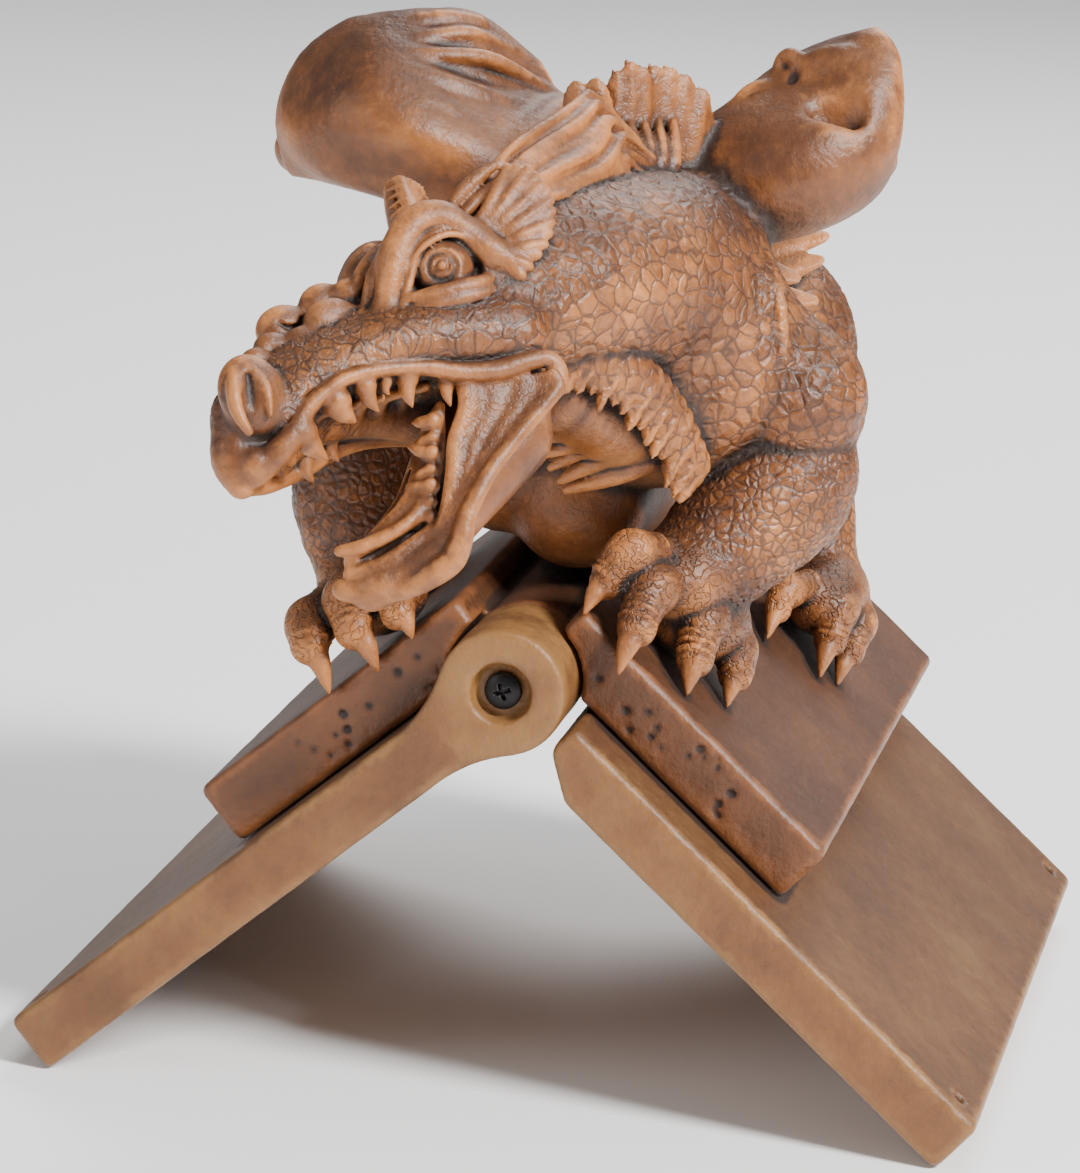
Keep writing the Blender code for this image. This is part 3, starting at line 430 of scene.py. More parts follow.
def neck(clay):
    """Thick neck from the shoulders to the back of the head."""
    clay.rod([(26, 88, 74), (23, 58, 82), (12, 26, 86), (-2, 2, 84)],
             [42, 35, 30, 25], 10, PLATED)
    clay.rod([(36, 72, 34), (25, 42, 40), (12, 16, 52)], [20, 15, 12], 8, STREAKED)


def neck_pleats(clay):
    """Loose skin that falls in pleats from the left wing's root down to the shoulder."""
    for _index, share in shares(6):
        high = vec(34 + 20 * share, 102 - 4 * share, 104 - 12 * share)
        low = vec(40 + 34 * share, 56 + 12 * share, 76 - 16 * share)
        middle = (high + low) / 2.0 + vec(6, -9, 5)
        clay.rod([high, middle, low], [3.0, 3.4 - share, 1.0], 3.0, FINE_PLATED)


def chest_fringe(clay):
    """Pointed scutes that hang in a row down the chest, and the feathered belly behind them."""
    path = smooth_path([(10, 2, 67), (19, 4, 64), (29, 14, 58), (37, 24, 49),
                        (43, 36, 36), (48, 46, 20)], 17)
    for index, place in enumerate(path):
        long = 1.0 + 0.3 * math.sin(index * 2.3)
        clay.rod([place + vec(1, 5, 6), place + vec(0, 0, 1), place + vec(-1, -5, -6) * long],
                 [6.0, 4.0, 0.8], 1.6, HALF_PLATED, 3)
        clay.rod([place + vec(3, 6, 8), place + vec(3, 1, 4), place + vec(2, -3, -1) * long],
                 [4.0, 2.2, 0.5], 0.8, STREAKED, 3)
    ribs = smooth_path([(2, 2, 56), (12, 14, 50), (20, 26, 40), (26, 40, 26)], 10)
    for index, place in enumerate(ribs):
        wave = vec(0, 0, math.sin(index * 1.9) * 2.0)
        clay.rod([place + vec(12, 8, 4), place + wave, place + vec(-15, -2, -9)],
                 [5.5, 4.6, 1.4], 1.0, STREAKED, 4)


def tail(clay):
    """Tail curled round behind the rump, close to the ridge."""
    path = [vec(0, 222, 24), vec(-10, 246, 24), vec(-30, 254, 14), vec(-48, 240, 0),
            vec(-56, 216, -16), vec(-58, 196, -26)]
    clay.rod(path, [28, 19, 14, 11, 8, 4], 5, HALF_PLATED)
    for index, place in enumerate(smooth_path(path, 15)[1:-1]):
        clay.rod([place + vec(0, 0, 8 - index * 0.2), place + vec(-1, 5, 19 - index * 0.9)],
                 [3.6, 0.7], 1.5, STREAKED, 2)


def foreleg(clay, side, shoulder, elbow, wrist, girth):
    """Bent foreleg: a bulging shoulder over a thick forearm, with a deep fold between them."""
    clay.ball(shoulder, (girth * 1.02, girth * 1.05, girth * 1.1), None, 3.0, HALF_PLATED)
    clay.rod([shoulder + vec(-side * 20, 0, 12), shoulder], [girth * 1.2, girth], 8, HALF_PLATED)
    clay.rod([shoulder + vec(side * 2, 0, -14), elbow, wrist],
             [girth * 0.80, girth * 1.08, girth * 0.84], 1.6, FINE_PLATED)


def crease_rings(clay, start, end, girth, count):
    """Wrinkles that lie across the top of a toe."""
    along = unit(end - start)
    across = unit(np.cross(along, vec(0.0, 0.0, 1.0)))
    up = np.cross(across, along)
    for index in range(count):
        middle = start + (end - start) * (index + 0.5) / count
        reach = girth * (1.03 - 0.16 * index / count)
        arch = [middle + (across * math.sin(turn) + up * math.cos(turn)) * reach
                for turn in (-1.5, -0.75, 0.0, 0.75, 1.5)]
        clay.rod(arch, [0.3, 0.75, 0.95, 0.75, 0.3], 0.5, CREASED, 2)


def toe(clay, root, knuckle, claw_root, claw_tip, girth):
    """A knobbly toe with a curved claw that grows out of a cuff of skin."""
    clay.rod([root, knuckle, claw_root], [girth * 0.9, girth * 1.0, girth * 0.74], 2.0, CREASED)
    clay.ball(knuckle, girth * 1.1, None, 2.0, CREASED)
    crease_rings(clay, root + (knuckle - root) * 0.35, knuckle, girth, 4)
    crease_rings(clay, knuckle, claw_root, girth, 5)
    clay.ball(claw_root, girth * 0.80, None, 1.0, CREASED)
    bend = vec(0, 0, girth * 0.28)
    tip = claw_tip + (claw_tip - claw_root) * 0.06
    clay.rod([claw_root, (claw_root + claw_tip) / 2.0 + bend, tip],
             [girth * 0.58, girth * 0.46, 0.5], 0.5, SMOOTH)


def feet(clay):
    """Four feet: the front ones grip the saddle's front edge."""
    front_left = ((on_saddle(1, 36, 50, 24), on_saddle(1, 26, 33, 22), on_saddle(1, 27, 28, 11),
                   on_saddle(1, 29, 19, 1), 7.2),
                  (on_saddle(1, 44, 50, 22), on_saddle(1, 39, 33, 18), on_saddle(1, 44, 22, 9),
                   on_saddle(1, 50, 12, -3), 8.0),
                  (on_saddle(1, 54, 56, 22), on_saddle(1, 58, 51, 18), on_saddle(1, 65, 42, 9),
                   on_saddle(1, 71, 34, 1), 7.6),
                  (on_saddle(1, 62, 70, 18), on_saddle(1, 73, 68, 13), on_saddle(1, 79, 64, 8),
                   on_saddle(1, 84, 56, 1), 7.0))
    front_right = ((on_saddle(-1, 66, 46, 20), on_saddle(-1, 74, 30, 21), vec(-68, 22, -38),
                    vec(-60, 18, -52), 8.0),
                   (on_saddle(-1, 56, 44, 22), on_saddle(-1, 58, 28, 20), vec(-53, 20, -31),
                    vec(-44, 17, -43), 8.0),
                   (on_saddle(-1, 45, 44, 19), on_saddle(-1, 43, 28, 16), vec(-39, 21, -24),
                    vec(-33, 17, -31), 7.2))
    hind_left = ((on_saddle(1, 84, 176, 20), on_saddle(1, 76, 158, 14), on_saddle(1, 78, 150, 9),
                  on_saddle(1, 82, 140, 2), 5.6),
                 (on_saddle(1, 88, 182, 20), on_saddle(1, 93, 172, 18), on_saddle(1, 99, 166, 10),
                  on_saddle(1, 105, 155, 1), 7.2),
                 (on_saddle(1, 96, 190, 18), on_saddle(1, 102, 184, 16),
                  on_saddle(1, 107, 176, 9), on_saddle(1, 112, 166, 0), 6.8))
    hind_right = [(on_saddle(-1, place - 1, reach + 22, 15), on_saddle(-1, place, reach + 10, 12),
                   on_saddle(-1, place + 1, reach + 2, 7), on_saddle(-1, place + 2, reach - 9, 1),
                   6.0) for place, reach in ((74, 158), (87, 152), (99, 158))]
    paws = ((((1, 44, 58, 22), (17, 21, 15)), ((1, 58, 66, 12), (17, 20, 13)), front_left),
            (((-1, 57, 50, 17), (18, 20, 15)), front_right),
            (((1, 88, 186, 15), (15, 24, 14)), hind_left),
            (((-1, 84, 184, 12), (14, 23, 12)), hind_right))
    for *pads, toes in paws:
        for place, girths in pads:
            clay.ball(on_saddle(*place), girths, None, 4, CREASED)
        for line in toes:
            toe(clay, *line)


def legs(clay):
    """Four bent legs, with the haunches drawn up beside the rump."""
    foreleg(clay, 1, vec(74, 90, 42), vec(72, 86, 14), on_saddle(1, 46, 66, 30), 23.0)
    foreleg(clay, -1, vec(-50, 84, 40), vec(-66, 70, 8), on_saddle(-1, 56, 56, 24), 19.5)
    for side in (-1.0, 1.0):
        clay.ball(vec(side * 44, 190, 36), (37, 42, 41), None, 6, HALF_PLATED)
        clay.rod([vec(side * 50, 206, 24), vec(side * 60, 208, 0), on_saddle(side, 82, 194, 16)],
                 [25, 19, 13], 4, FINE_PLATED)
    feet(clay)


# Net of each wing's front, from its lower contour to its top, and its finger bones
RIGHT_WING = (
    ((-103, 128, 100.5), (-90, 118, 101), (-76.5, 112, 103.5), (-62, 108, 103), (-47.5, 106, 98.5),
     (-37, 106, 96)),
    ((-106, 122, 109.5), (-88.5, 104, 115), (-73.5, 98, 117), (-58, 96, 117), (-43.5, 100, 114),
     (-29, 106, 109)),
    ((-107, 124, 119), (-89.5, 106, 125), (-74.5, 100, 128.5), (-60, 102, 128.5), (-44.5, 110, 124),
     (-27.5, 120, 117)),
    ((-104, 128, 129), (-88.5, 114, 135), (-75, 108, 138), (-62, 114, 138.5), (-46, 124, 133),
     (-25, 140, 123)),
    ((-98, 134, 139.5), (-86, 124, 144), (-75, 120, 146.5), (-62.5, 126, 146), (-48, 138, 142),
     (-23.5, 156, 125)),
    ((-96, 142, 142), (-86, 136, 147), (-74, 134, 150), (-62, 138, 151.5), (-48.5, 147, 149.5),
     (-30.5, 162, 133)),
    ((-92, 156, 142), (-84, 158, 146), (-74, 162, 147), (-62, 168, 145), (-48, 176, 139),
     (-32, 186, 124)),
)
RIGHT_FINGERS = (
    ((-72, 128, 148.5), (-58, 134, 152.5), (-46.5, 144, 151)),
    ((-70.5, 122, 144.5), (-59, 126, 147), (-46.5, 136, 147.5), (-36, 151, 140)),
    ((-67.5, 116, 141.5), (-52, 122, 142), (-37.5, 135, 139), (-22, 156, 126)),
    ((-66.5, 111, 138), (-50, 115, 134), (-35.5, 127, 127.5), (-22, 146, 119.5)),
    ((-66, 106, 132), (-51.5, 107, 127), (-38.5, 113, 119.5), (-28, 122, 111)),
)
LEFT_WING = (
    ((34, 114, 96), (44.5, 112, 94.5), (59.5, 112, 95), (74, 114, 99), (84.5, 118, 103.5),
     (92, 124, 110)),
    ((30.5, 112, 103), (44, 106, 104.5), (61.5, 100, 108.5), (76.5, 102, 112), (87.5, 110, 117.5),
     (95.5, 124, 121)),
    ((27.5, 112, 108), (41.5, 108, 114), (59.5, 103, 119.5), (75.5, 103, 124), (87, 112, 130),
     (96, 126, 132)),
    ((25.5, 114, 112), (36.5, 114, 118.5), (52.5, 112, 127), (70.5, 112, 132), (84, 119, 139),
     (95.5, 130, 143)),
    ((23.5, 118, 114), (32.5, 120, 118), (43.5, 122, 128), (63, 124, 137), (79, 131, 145),
     (95, 134, 149)),
    ((22.5, 124, 115), (30.5, 126, 119), (39, 130, 124.5), (59, 136, 142), (75, 140, 150.5),
     (90, 140, 155)),
    ((22, 150, 113), (30, 158, 116), (40, 164, 122), (58, 164, 136), (73, 158, 146),
     (87, 154, 150)),
)


def wing(clay, rows, root, girth):
    """Folded wing: a bulging front that turns over a ridge into the dusty top."""
    rows = np.array(rows, float)
    clay.sheet(net(rows, 70, 70), 8.0, 3.0)
    low = rows[0] + (rows[1] - rows[0]) * 0.35 + vec(0, 6, 2)
    clay.rod(low, [girth, girth, girth, girth * 0.92, girth * 0.8, girth * 0.6], 5.0)
    clay.rod([root, low[0] if root[0] > 0.0 else low[-1]], [19, girth], 8.0, PLATED)


def wings(clay):
    """Both wings, raised and cupped beside the neck, with their folds."""
    wing(clay, RIGHT_WING, vec(-18, 110, 78), 9.0)
    clay.rod([(-37, 108, 97), (-44, 107, 100), (-63.5, 108, 106), (-85, 112, 110),
              (-97, 119, 118), (-96, 125, 133), (-86, 130, 144)],
             [13, 13, 12, 11, 10, 9, 6], 6.0)
    for index, finger in enumerate(RIGHT_FINGERS):
        finger = np.array(finger, float)
        clay.rod(finger + vec(0, -1.5, 0), [2.0] + [3.2] * (len(finger) - 2) + [2.2], 2.4)
        if index > 1:
            above = np.array(RIGHT_FINGERS[index - 1], float)
            between = (smooth_path(finger, 5) + smooth_path(above, 5)) / 2.0
            clay.rod(between + vec(0, 0.6, 0), [0.8, 1.3, 1.6, 1.4, 1.0], 1.6)
    clay.rod([(-30, 108, 104), (-25, 118, 114), (-20, 138, 121), (-19, 155, 123)],
             [7, 7, 6, 4], 3.0)
    wing(clay, LEFT_WING, vec(30, 112, 80), 10.0)
    clay.rod([(34, 112, 100), (48, 112, 105), (63, 112, 110), (78, 116, 116),
              (88, 122, 126), (91, 128, 140), (88, 134, 150)],
             [10, 15, 17, 15, 11, 8, 6], 8.0)
    clay.rod([(83.5, 137, 151), (89.5, 135, 153), (93.5, 132, 148), (93, 127, 139),
              (91, 122, 128), (86, 117, 118)], [3.0, 4.5, 4.5, 4.5, 5.0, 5.5], 2.5)
    clay.groove([(95, 125, 146), (96.8, 121, 137), (97, 118, 128), (96, 117, 120)],
                [0.5, 1.0, 1.1, 0.5], 0.8)
    clay.ball(vec(78, 129, 141), (15, 7, 13), None, 4.0)
    clay.hollow(vec(81, 110.5, 143), (10, 5, 20), None, 5.0)
    clay.hollow(vec(72, 115, 151), (6, 4.5, 7), None, 5.0)
    clay.rod([(70, 121, 134), (68.5, 124, 140), (66.5, 128, 145.5), (62, 131, 148.5),
              (58.8, 132, 146), (59.4, 130, 142), (62, 125, 137)],
             [1.4, 2.4, 3.0, 3.2, 2.8, 2.4, 1.4], 2.0)
    clay.hollow(vec(63.4, 122.5, 144), (2.4, 2.4, 3.2), None, 2.0)
    clay.rod([(40, 121, 125), (45, 122, 132), (49.6, 125, 137), (54.3, 126, 138.6),
              (59.4, 126, 137.4), (64, 123, 134.5), (59.8, 119.5, 132.4),
              (53.6, 117.5, 130), (46.5, 118, 127)],
             [1.2, 2.0, 2.4, 2.4, 2.2, 1.8, 1.8, 1.8, 1.2], 1.6)
    for index in range(3):
        high = vec(44 + 8 * index, 112 + index, 118 + 3.2 * index)
        low = vec(50 + 10 * index, 103 + 3.0 * index, 107 + 2.5 * index)
        clay.rod([low, (high + low) / 2.0 + vec(1, -2.5, 0), high], [1.0, 2.2, 1.0], 3.0)


# Tip, base and girth of each tuft on the left flank
TUFTS = (((70, 180, 81), (34, 176, 68), 9.0), ((70, 172, 74), (36, 168, 60), 9.0),
         ((72, 150, 64), (36, 142, 60), 6.0), ((66, 146, 72), (36, 140, 70), 7.0),
         ((60, 160, 88), (28, 160, 74), 8.0))


def flank_tufts(clay):
    """Pointed tufts behind the wings on both flanks."""
    for side in (-1.0, 1.0):
        for tip, base, girth in TUFTS:
            tip, base = vec(side * tip[0], *tip[1:]), vec(side * base[0], *base[1:])
            for spread in (-1.0, 0.0, 1.0):
                lean = vec(0.0, spread * 3.0, spread * 2.0)
                clay.rod([base + lean, (base + tip) / 2.0 + lean * 1.2 + vec(0, 0, 2),
                          tip + lean * 0.4], [girth * 0.8, girth * 0.5, 0.9], 1.6, STREAKED)


def ribbed_fin(clay, foot, tip, ribs, thickness, edge):
    """A fin between two edge lines, scalloped at its tip and ribbed from foot to tip."""
    foot, tip = smooth_path(foot, ribs * 6 + 1), smooth_path(tip, ribs * 6 + 1)
    beat = np.abs(np.sin(np.linspace(0.0, ribs * math.pi, len(tip))))[:, None]
    tip = tip - (tip - foot) * (edge * (1.0 - beat))
    share = np.linspace(0.0, 1.0, 15)[None, :, None]
    bow = np.sin(share * math.pi)
    points = foot[:, None] + (tip - foot)[:, None] * share
    lean = unit(np.cross(tip[-1] - tip[0], tip[0] - foot[0]))
    points = points + lean * (bow * 1.5 + (beat[:, None] - 0.5) * 1.1)
    clay.sheet(points, thickness, 1.2, STREAKED)
    for index in range(ribs):
        line = points[index * 6 + 3]
        clay.rod(line[::5], [1.9, 1.7, 1.1], 0.7, SMOOTH)
        clay.rod(line[2::6] - lean * 2.0 * thickness / 4.0, [1.8, 1.4, 0.9], 0.7, SMOOTH)


# Base, tip and girth of each fin along the back
BACK_FINS = (((28, 136, 90), (30, 142, 120), 8.5), ((16, 164, 86), (17, 172, 110), 8.0),
             ((8, 190, 76), (8, 200, 98), 7.5), ((3, 214, 58), (3, 226, 76), 6.5))


def mane(clay):
    """Flowing locks from the brow along the top of the neck, and the crest fins behind."""
    spine = smooth_path([(-22, 2, 103), (-11, 14, 111), (1, 32, 117), (11, 52, 121),
                         (18, 72, 122), (25, 98, 118), (26, 130, 108),
                         (16, 160, 98)], 71)
    clay.rod(spine[:46:9] + vec(-1, 3, -5), [5, 7, 8, 8, 8, 8], 4.0)
    top = smooth_path([(-24, -6, 111), (-14, 5, 121), (-6, 25, 130.5), (3, 50, 137),
                       (6, 70, 141)], 25)
    low = smooth_path([(-9, -5, 106), (5, 10, 113), (13, 28, 112), (20, 48, 113),
                       (22, 68, 121)], 25)
    for index, share in shares(18):
        lock = top + (low - top) * share
        swell = 4.0 * math.sin(share * math.pi)
        wave = np.sin(np.linspace(0.0, 5.0, 25) + index * 1.3)[:, None] * 1.1
        lift = 1.2 if index % 3 == 0 else 0.0
        first = (index * 5) % 4
        lock = (lock + vec(0.45, -0.8, 0.4) * (swell + wave + lift))[first:25 - (index * 3) % 4]
        lock = np.vstack((lock, lock[-1] + vec(3, 6, -3), lock[-1] + vec(7, 13, -9)))
        girths = np.interp(np.linspace(0.0, 1.0, len(lock)), (0.0, 0.25, 0.7, 1.0),
                           (0.8, 1.5, 1.7, 1.1))
        clay.rod(lock, girths, 0.8, SMOOTH, 1)
    clay.sheet(np.stack((top[1:] + vec(2, 5, -4), top[1:] + vec(0.5, 1, -1),
                         (top[1:] + low[1:]) / 2.0 + vec(0.5, -0.8, 0.2), low[1:])), 2.6, 1.5)
    ribbed_fin(clay, [vec(2, 74, 118), vec(7, 78, 118), vec(12, 82, 116)],
               [vec(-3, 79, 140), vec(3, 80, 145), vec(10, 81, 143)], 2, 4.5, 0.22)
    ribbed_fin(clay, [vec(11, 84, 116), vec(16, 88, 114), vec(21, 92, 112)],
               [vec(10, 88, 144), vec(15, 91, 149), vec(20, 95, 146)], 3, 5.0, 0.16)
    ribbed_fin(clay, [vec(18, 92, 112), vec(25, 98, 110), vec(31, 102, 106)],
               [vec(20, 99, 147), vec(28, 106, 145), vec(38, 112, 137)], 4, 5.5, 0.14)
    ribbed_fin(clay, [vec(30, 100, 106), vec(34, 106, 102), vec(37, 112, 98)],
               [vec(31, 108, 138), vec(37, 112, 133), vec(39, 116, 124)], 3, 5.0, 0.16)
    for _index, share in shares(7):
        tip = vec(2 + 26 * share, 78 + 24 * share, 134 - 2.0 * share)
        foot = vec(14 + 14 * share, 62 + 18 * share, 110 - 4.0 * share)
        clay.rod([tip, (tip + foot) / 2.0 + vec(4, -6, -1), foot], [1.2, 3.0, 1.0], 0.8, STREAKED)
    for base, tip, girth in BACK_FINS:
        base, tip = vec(*base), vec(*tip)
        for spread in (-1.0, 0.0, 1.0):
            lean = vec(spread * 2.6, spread * 3.0, -abs(spread) * 3.5)
            clay.rod([base + lean * 0.4, (base + tip) / 2.0 + lean, tip + lean * 1.1],
                     [girth, girth * 0.62, 1.8], 0.9, STREAKED)


def skull(clay):
    """Upper head: cranium, muzzle, beaked nose and nostrils."""
    clay.ball(on_head(-16, 0, -8), (31, 25, 23), HEAD, 6, PLATED)
    clay.ball(on_head(-6, 0, -20), (26, 25, 16), HEAD, 6, PLATED)
    clay.rod(head_line((6, 0, -14), (30, 0, -17), (50, 0, -19), (70, 0, -26)),
             [20, 14.5, 12.5, 11.0], 5, FINE_PLATED)
    for side in (-1.0, 1.0):
        drop = 0.0 if side > 0.0 else 8.0
        clay.rod(head_line((-14, side * 18, -25), (18, side * 15, -19 - drop),
                           (48, side * 9, -22 - drop), (64, side * 8, -30 - drop)),
                 [12, 10.5, 9.0, 7.5], 5, HALF_PLATED)
        drop = 0.0 if side > 0.0 else 6.0
        bulge = on_head(72 - drop / 2.0, side * 10.5 + drop / 2.0, -22 - drop)
        clay.ball(bulge, (10.5, 7.5, 12.5), HEAD, 2.0)
    clay.rod(head_line((72, 0, -28), (79, 0, -38), (80, 0, -46)), [10, 7.5, 4.5], 3)
    clay.ball(on_head(76, 4, -42), (6, 7, 6), HEAD, 2.0)
    clay.rod(head_line((77, 14, -15), (80, 16, -20), (81.5, 16.5, -27), (80, 16.5, -34)),
             [1.6, 2.2, 2.2, 1.4], 2.0)
    clay.groove(head_line((74, 16.5, -17), (75.5, 18, -22), (76.5, 18, -28), (77, 17, -33)),
                [1.0, 2.0, 2.0, 0.8], 0.7)
    clay.rod(head_line((71, 16, -17), (70.5, 17.5, -23), (72, 17.5, -31)), [1.2, 1.8, 1.0], 1.0)
    clay.hollow(on_head(81, -9, -22), (3.5, 3.5, 5), HEAD, 1.0)
    for place, girths in (((46, -6, -2), (9.5, 6.0, 8.0)), ((31, -5, 2), (8.5, 5.5, 7.5)),
                          ((35, 4, -4), (9.0, 4.5, 6.5)), ((46, 4, -8.5), (7.0, 3.6, 4.6)),
                          ((56, 1, -7), (5.5, 4.4, 4.0)), ((63, 2, -10), (4.5, 4.0, 3.4)),
                          ((24, 0, 3), (6.0, 5.0, 5.0))):
        clay.ball(on_head(*place), girths, HEAD, 1.8)
    clay.groove(head_line((38, 9, -8), (34, 9.5, -4), (29, 8.5, -3.5), (26, 7, -6)),
                [0.5, 0.9, 0.9, 0.5], 0.5)
    clay.groove(head_line((50, -1, 0), (46, -1, -3), (41, -2, 0)), [0.6, 1.0, 0.6], 0.6)


# Lines along the lips and the lower jaw on the head, on the near side and the far side
NEAR_LIP = ((76, 4, -44), (68.5, 10, -40.5), (63, 12.5, -36), (58.5, 14.5, -31.5),
            (53, 16.5, -28.5), (44, 18.5, -25.8), (32, 20, -26.2), (19, 21.2, -29),
            (8, 22.4, -33.5), (-3, 24, -36), (-12, 26, -35.8), (-19, 27, -36.8),
            (-21.5, 27.6, -41), (-20, 27.6, -46))
FAR_LIP = ((76, -2, -46), (69, -8, -46), (60, -12, -45), (50, -15, -43), (40, -18, -40),
           (25, -21, -38), (8, -24, -40), (-8, -26, -45), (-18, -27, -52))
NEAR_JAW = ((-20, 27.6, -41), (-19.5, 27.6, -46), (-14, 27, -50), (-6, 26, -55), (2, 25, -60),
            (10, 24, -65), (17, 23, -71), (22, 21, -76.5), (25, 19, -82), (28.5, 15.5, -87),
            (34, 11, -89), (41, 5, -90), (47, -1, -89))
NEAR_RIM = ((9, 20, -36), (10.5, 20, -43.5), (16, 18, -51.5), (20, 17, -61), (24, 15, -70),
            (27.5, 12, -76), (32, 8, -78.5), (37.5, 4, -80.5), (43, 0, -82.5))
FAR_JAW = ((-18, -27, -50), (-10, -26, -57), (0, -25, -63), (12, -23, -69), (22, -20, -75),
           (32, -16, -81), (42, -10, -86), (49, -3, -88))
FAR_RIM = ((-10, -22, -50), (4, -21, -55), (16, -19, -62), (27, -16, -70), (38, -11, -77),
           (46, -5, -82))

# Root, tip and girth of each tooth in the upper jaw
UPPER_TEETH = (((61, 11, -37), (54, 8.5, -46.5), 4.6), ((48, 14, -31), (43, 12.5, -38.5), 4.4),
               ((38, 16.5, -29), (35.5, 14.5, -37.5), 3.2), ((24, 17.5, -30), (25, 16.5, -39), 3.2),
               ((11.5, 18.5, -33), (13, 17.5, -42), 2.6), ((31, 17, -29.5), (31, 16, -33.5), 1.8),
               ((52, -11, -42), (51, -11, -49), 2.6), ((40, -14, -38), (39, -14, -44), 2.4))


def cheek(clay, outer, inner, out):
    """Skin stretched between the jaws, dished and faintly pleated."""
    outer = smooth_path(head_line(*outer), 41)
    inner = smooth_path(head_line(*inner), 41)
    across = np.linspace(0.0, 1.0, 17)[None, :, None]
    dish = -1.6 * np.sin(across * math.pi) + 0.35 * np.sin(across * math.pi * 7.0)
    points = outer[:, None] + (inner - outer)[:, None] * across + out * dish
    clay.sheet(points, 4.4, 1.5, STREAKED)


def tooth(clay, root, tip, girth):
    """One curved tooth in a swollen gum."""
    root, tip = on_head(*root), on_head(*tip)
    clay.ball(root, girth * 1.15, None, 1.0)
    clay.rod([root, (root + tip) / 2.0 + HEAD[0] * 0.8, tip], [girth, girth * 0.72, 0.5], 0.4)


def mouth(clay):
    """Rolled lips, gaping jaws, stretched cheeks, tongue and teeth."""
    clay.rod(head_line((52, -10, -27), (30, -13, -28), (6, -16, -34)), [8, 9, 11], 4.0)
    clay.ball(on_head(-16, 0, -40), (12, 21, 15), HEAD, 4.0)
    clay.rod(head_line((-12, 0, -52), (12, 0, -68), (34, 0, -84), (46, 0, -87)),
             [14, 11, 7.5, 6], 4.0)
    clay.rod(head_line((26, 10, -82), (38, 4, -86), (50, -3, -86), (56, -6, -84)),
             [6.5, 6.0, 4.8, 3.4], 3.0)
    cheek(clay, NEAR_JAW, NEAR_RIM, HEAD[1])
    cheek(clay, FAR_JAW, FAR_RIM, -HEAD[1])
    clay.rod(head_line(*NEAR_JAW),
             [2.6, 2.4, 2.0, 1.9, 1.9, 2.1, 2.4, 2.8, 3.4, 4.0, 4.2, 3.8, 3.0], 1.2)
    clay.rod(head_line(*FAR_JAW), [4.0, 4.0, 4.0, 4.2, 4.6, 5, 5.4, 5.4], 1.6)
    clay.rod(head_line(*NEAR_RIM), [1.2, 1.7, 1.8, 1.8, 1.9, 2.0, 2.2, 2.4, 2.2], 0.8)
    clay.rod(head_line(*FAR_RIM), [2.0] * 6, 1.0)
    clay.rod(head_line(*NEAR_LIP), [4.6, 4.4, 3.7, 3.1, 2.6, 2.3, 2.3, 2.5, 3.0, 3.3, 3.1, 2.7, 2.5,
                                    2.4], 1.0)
    clay.rod(head_line(*FAR_LIP), [4.0, 3.4, 3.2, 3.2, 3.2, 3.4, 3.6, 3.8, 4.2], 1.6)
    for root, tip, girth in UPPER_TEETH:
        tooth(clay, root, tip, girth)
    for index, share in shares(7):
        root = vec(17.5 + 10 * share, 12 - 3.5 * share, -44 - 28 * share)
        tooth(clay, root, root + vec(4.5 + share, -4.5, 2.0 - 3.0 * math.sin(index * 2.4)),
              2.5 - 0.6 * (index % 2))
    for _index, share in shares(4):
        clay.rod(head_line((14 + 4 * share, 13 - 5 * share, -40 - 4 * share),
                           (20 + 4 * share, 9 - 5 * share, -56 - 4 * share),
                           (30 + 5 * share, 6 - 4 * share, -69 - 2 * share)),
                 [1.6, 2.6, 1.4], 1.0)
    clay.rod(head_line((0, 0, -46), (16, 2, -54), (28, 2, -65), (41, 0, -73), (52, -3, -77)),
             [10, 7, 5.5, 4.5, 2.4], 1.5)
    clay.rod(head_line((20, 8, -58), (29, 7.5, -68), (37, 6, -72.5), (47, 2, -74), (55, -2, -73)),
             [2.0, 2.2, 2.4, 2.4, 1.8], 1.4)
    clay.rod(head_line((30, 10, -76), (38, 7, -79), (46, 3, -81), (54, -3, -80)),
             [2.0, 2.4, 2.4, 1.8], 1.4)
    clay.groove(head_line((24, 3, -55), (34, 2, -64), (46, -1.5, -70)), [1.0, 1.8, 0.8], 1.0)
    clay.groove(head_line((30, 8.5, -73.5), (40, 5, -76.5), (50, -0.5, -77.5)),
                [0.8, 1.4, 0.6], 0.8)
    for index in range(6):
        place = 8.0 + index * 8.0
        clay.rod(head_line((place, 12, -33), (place + 1, 0, -31.5), (place, -12, -37)),
                 [1.6, 1.9, 1.6], 1.2)


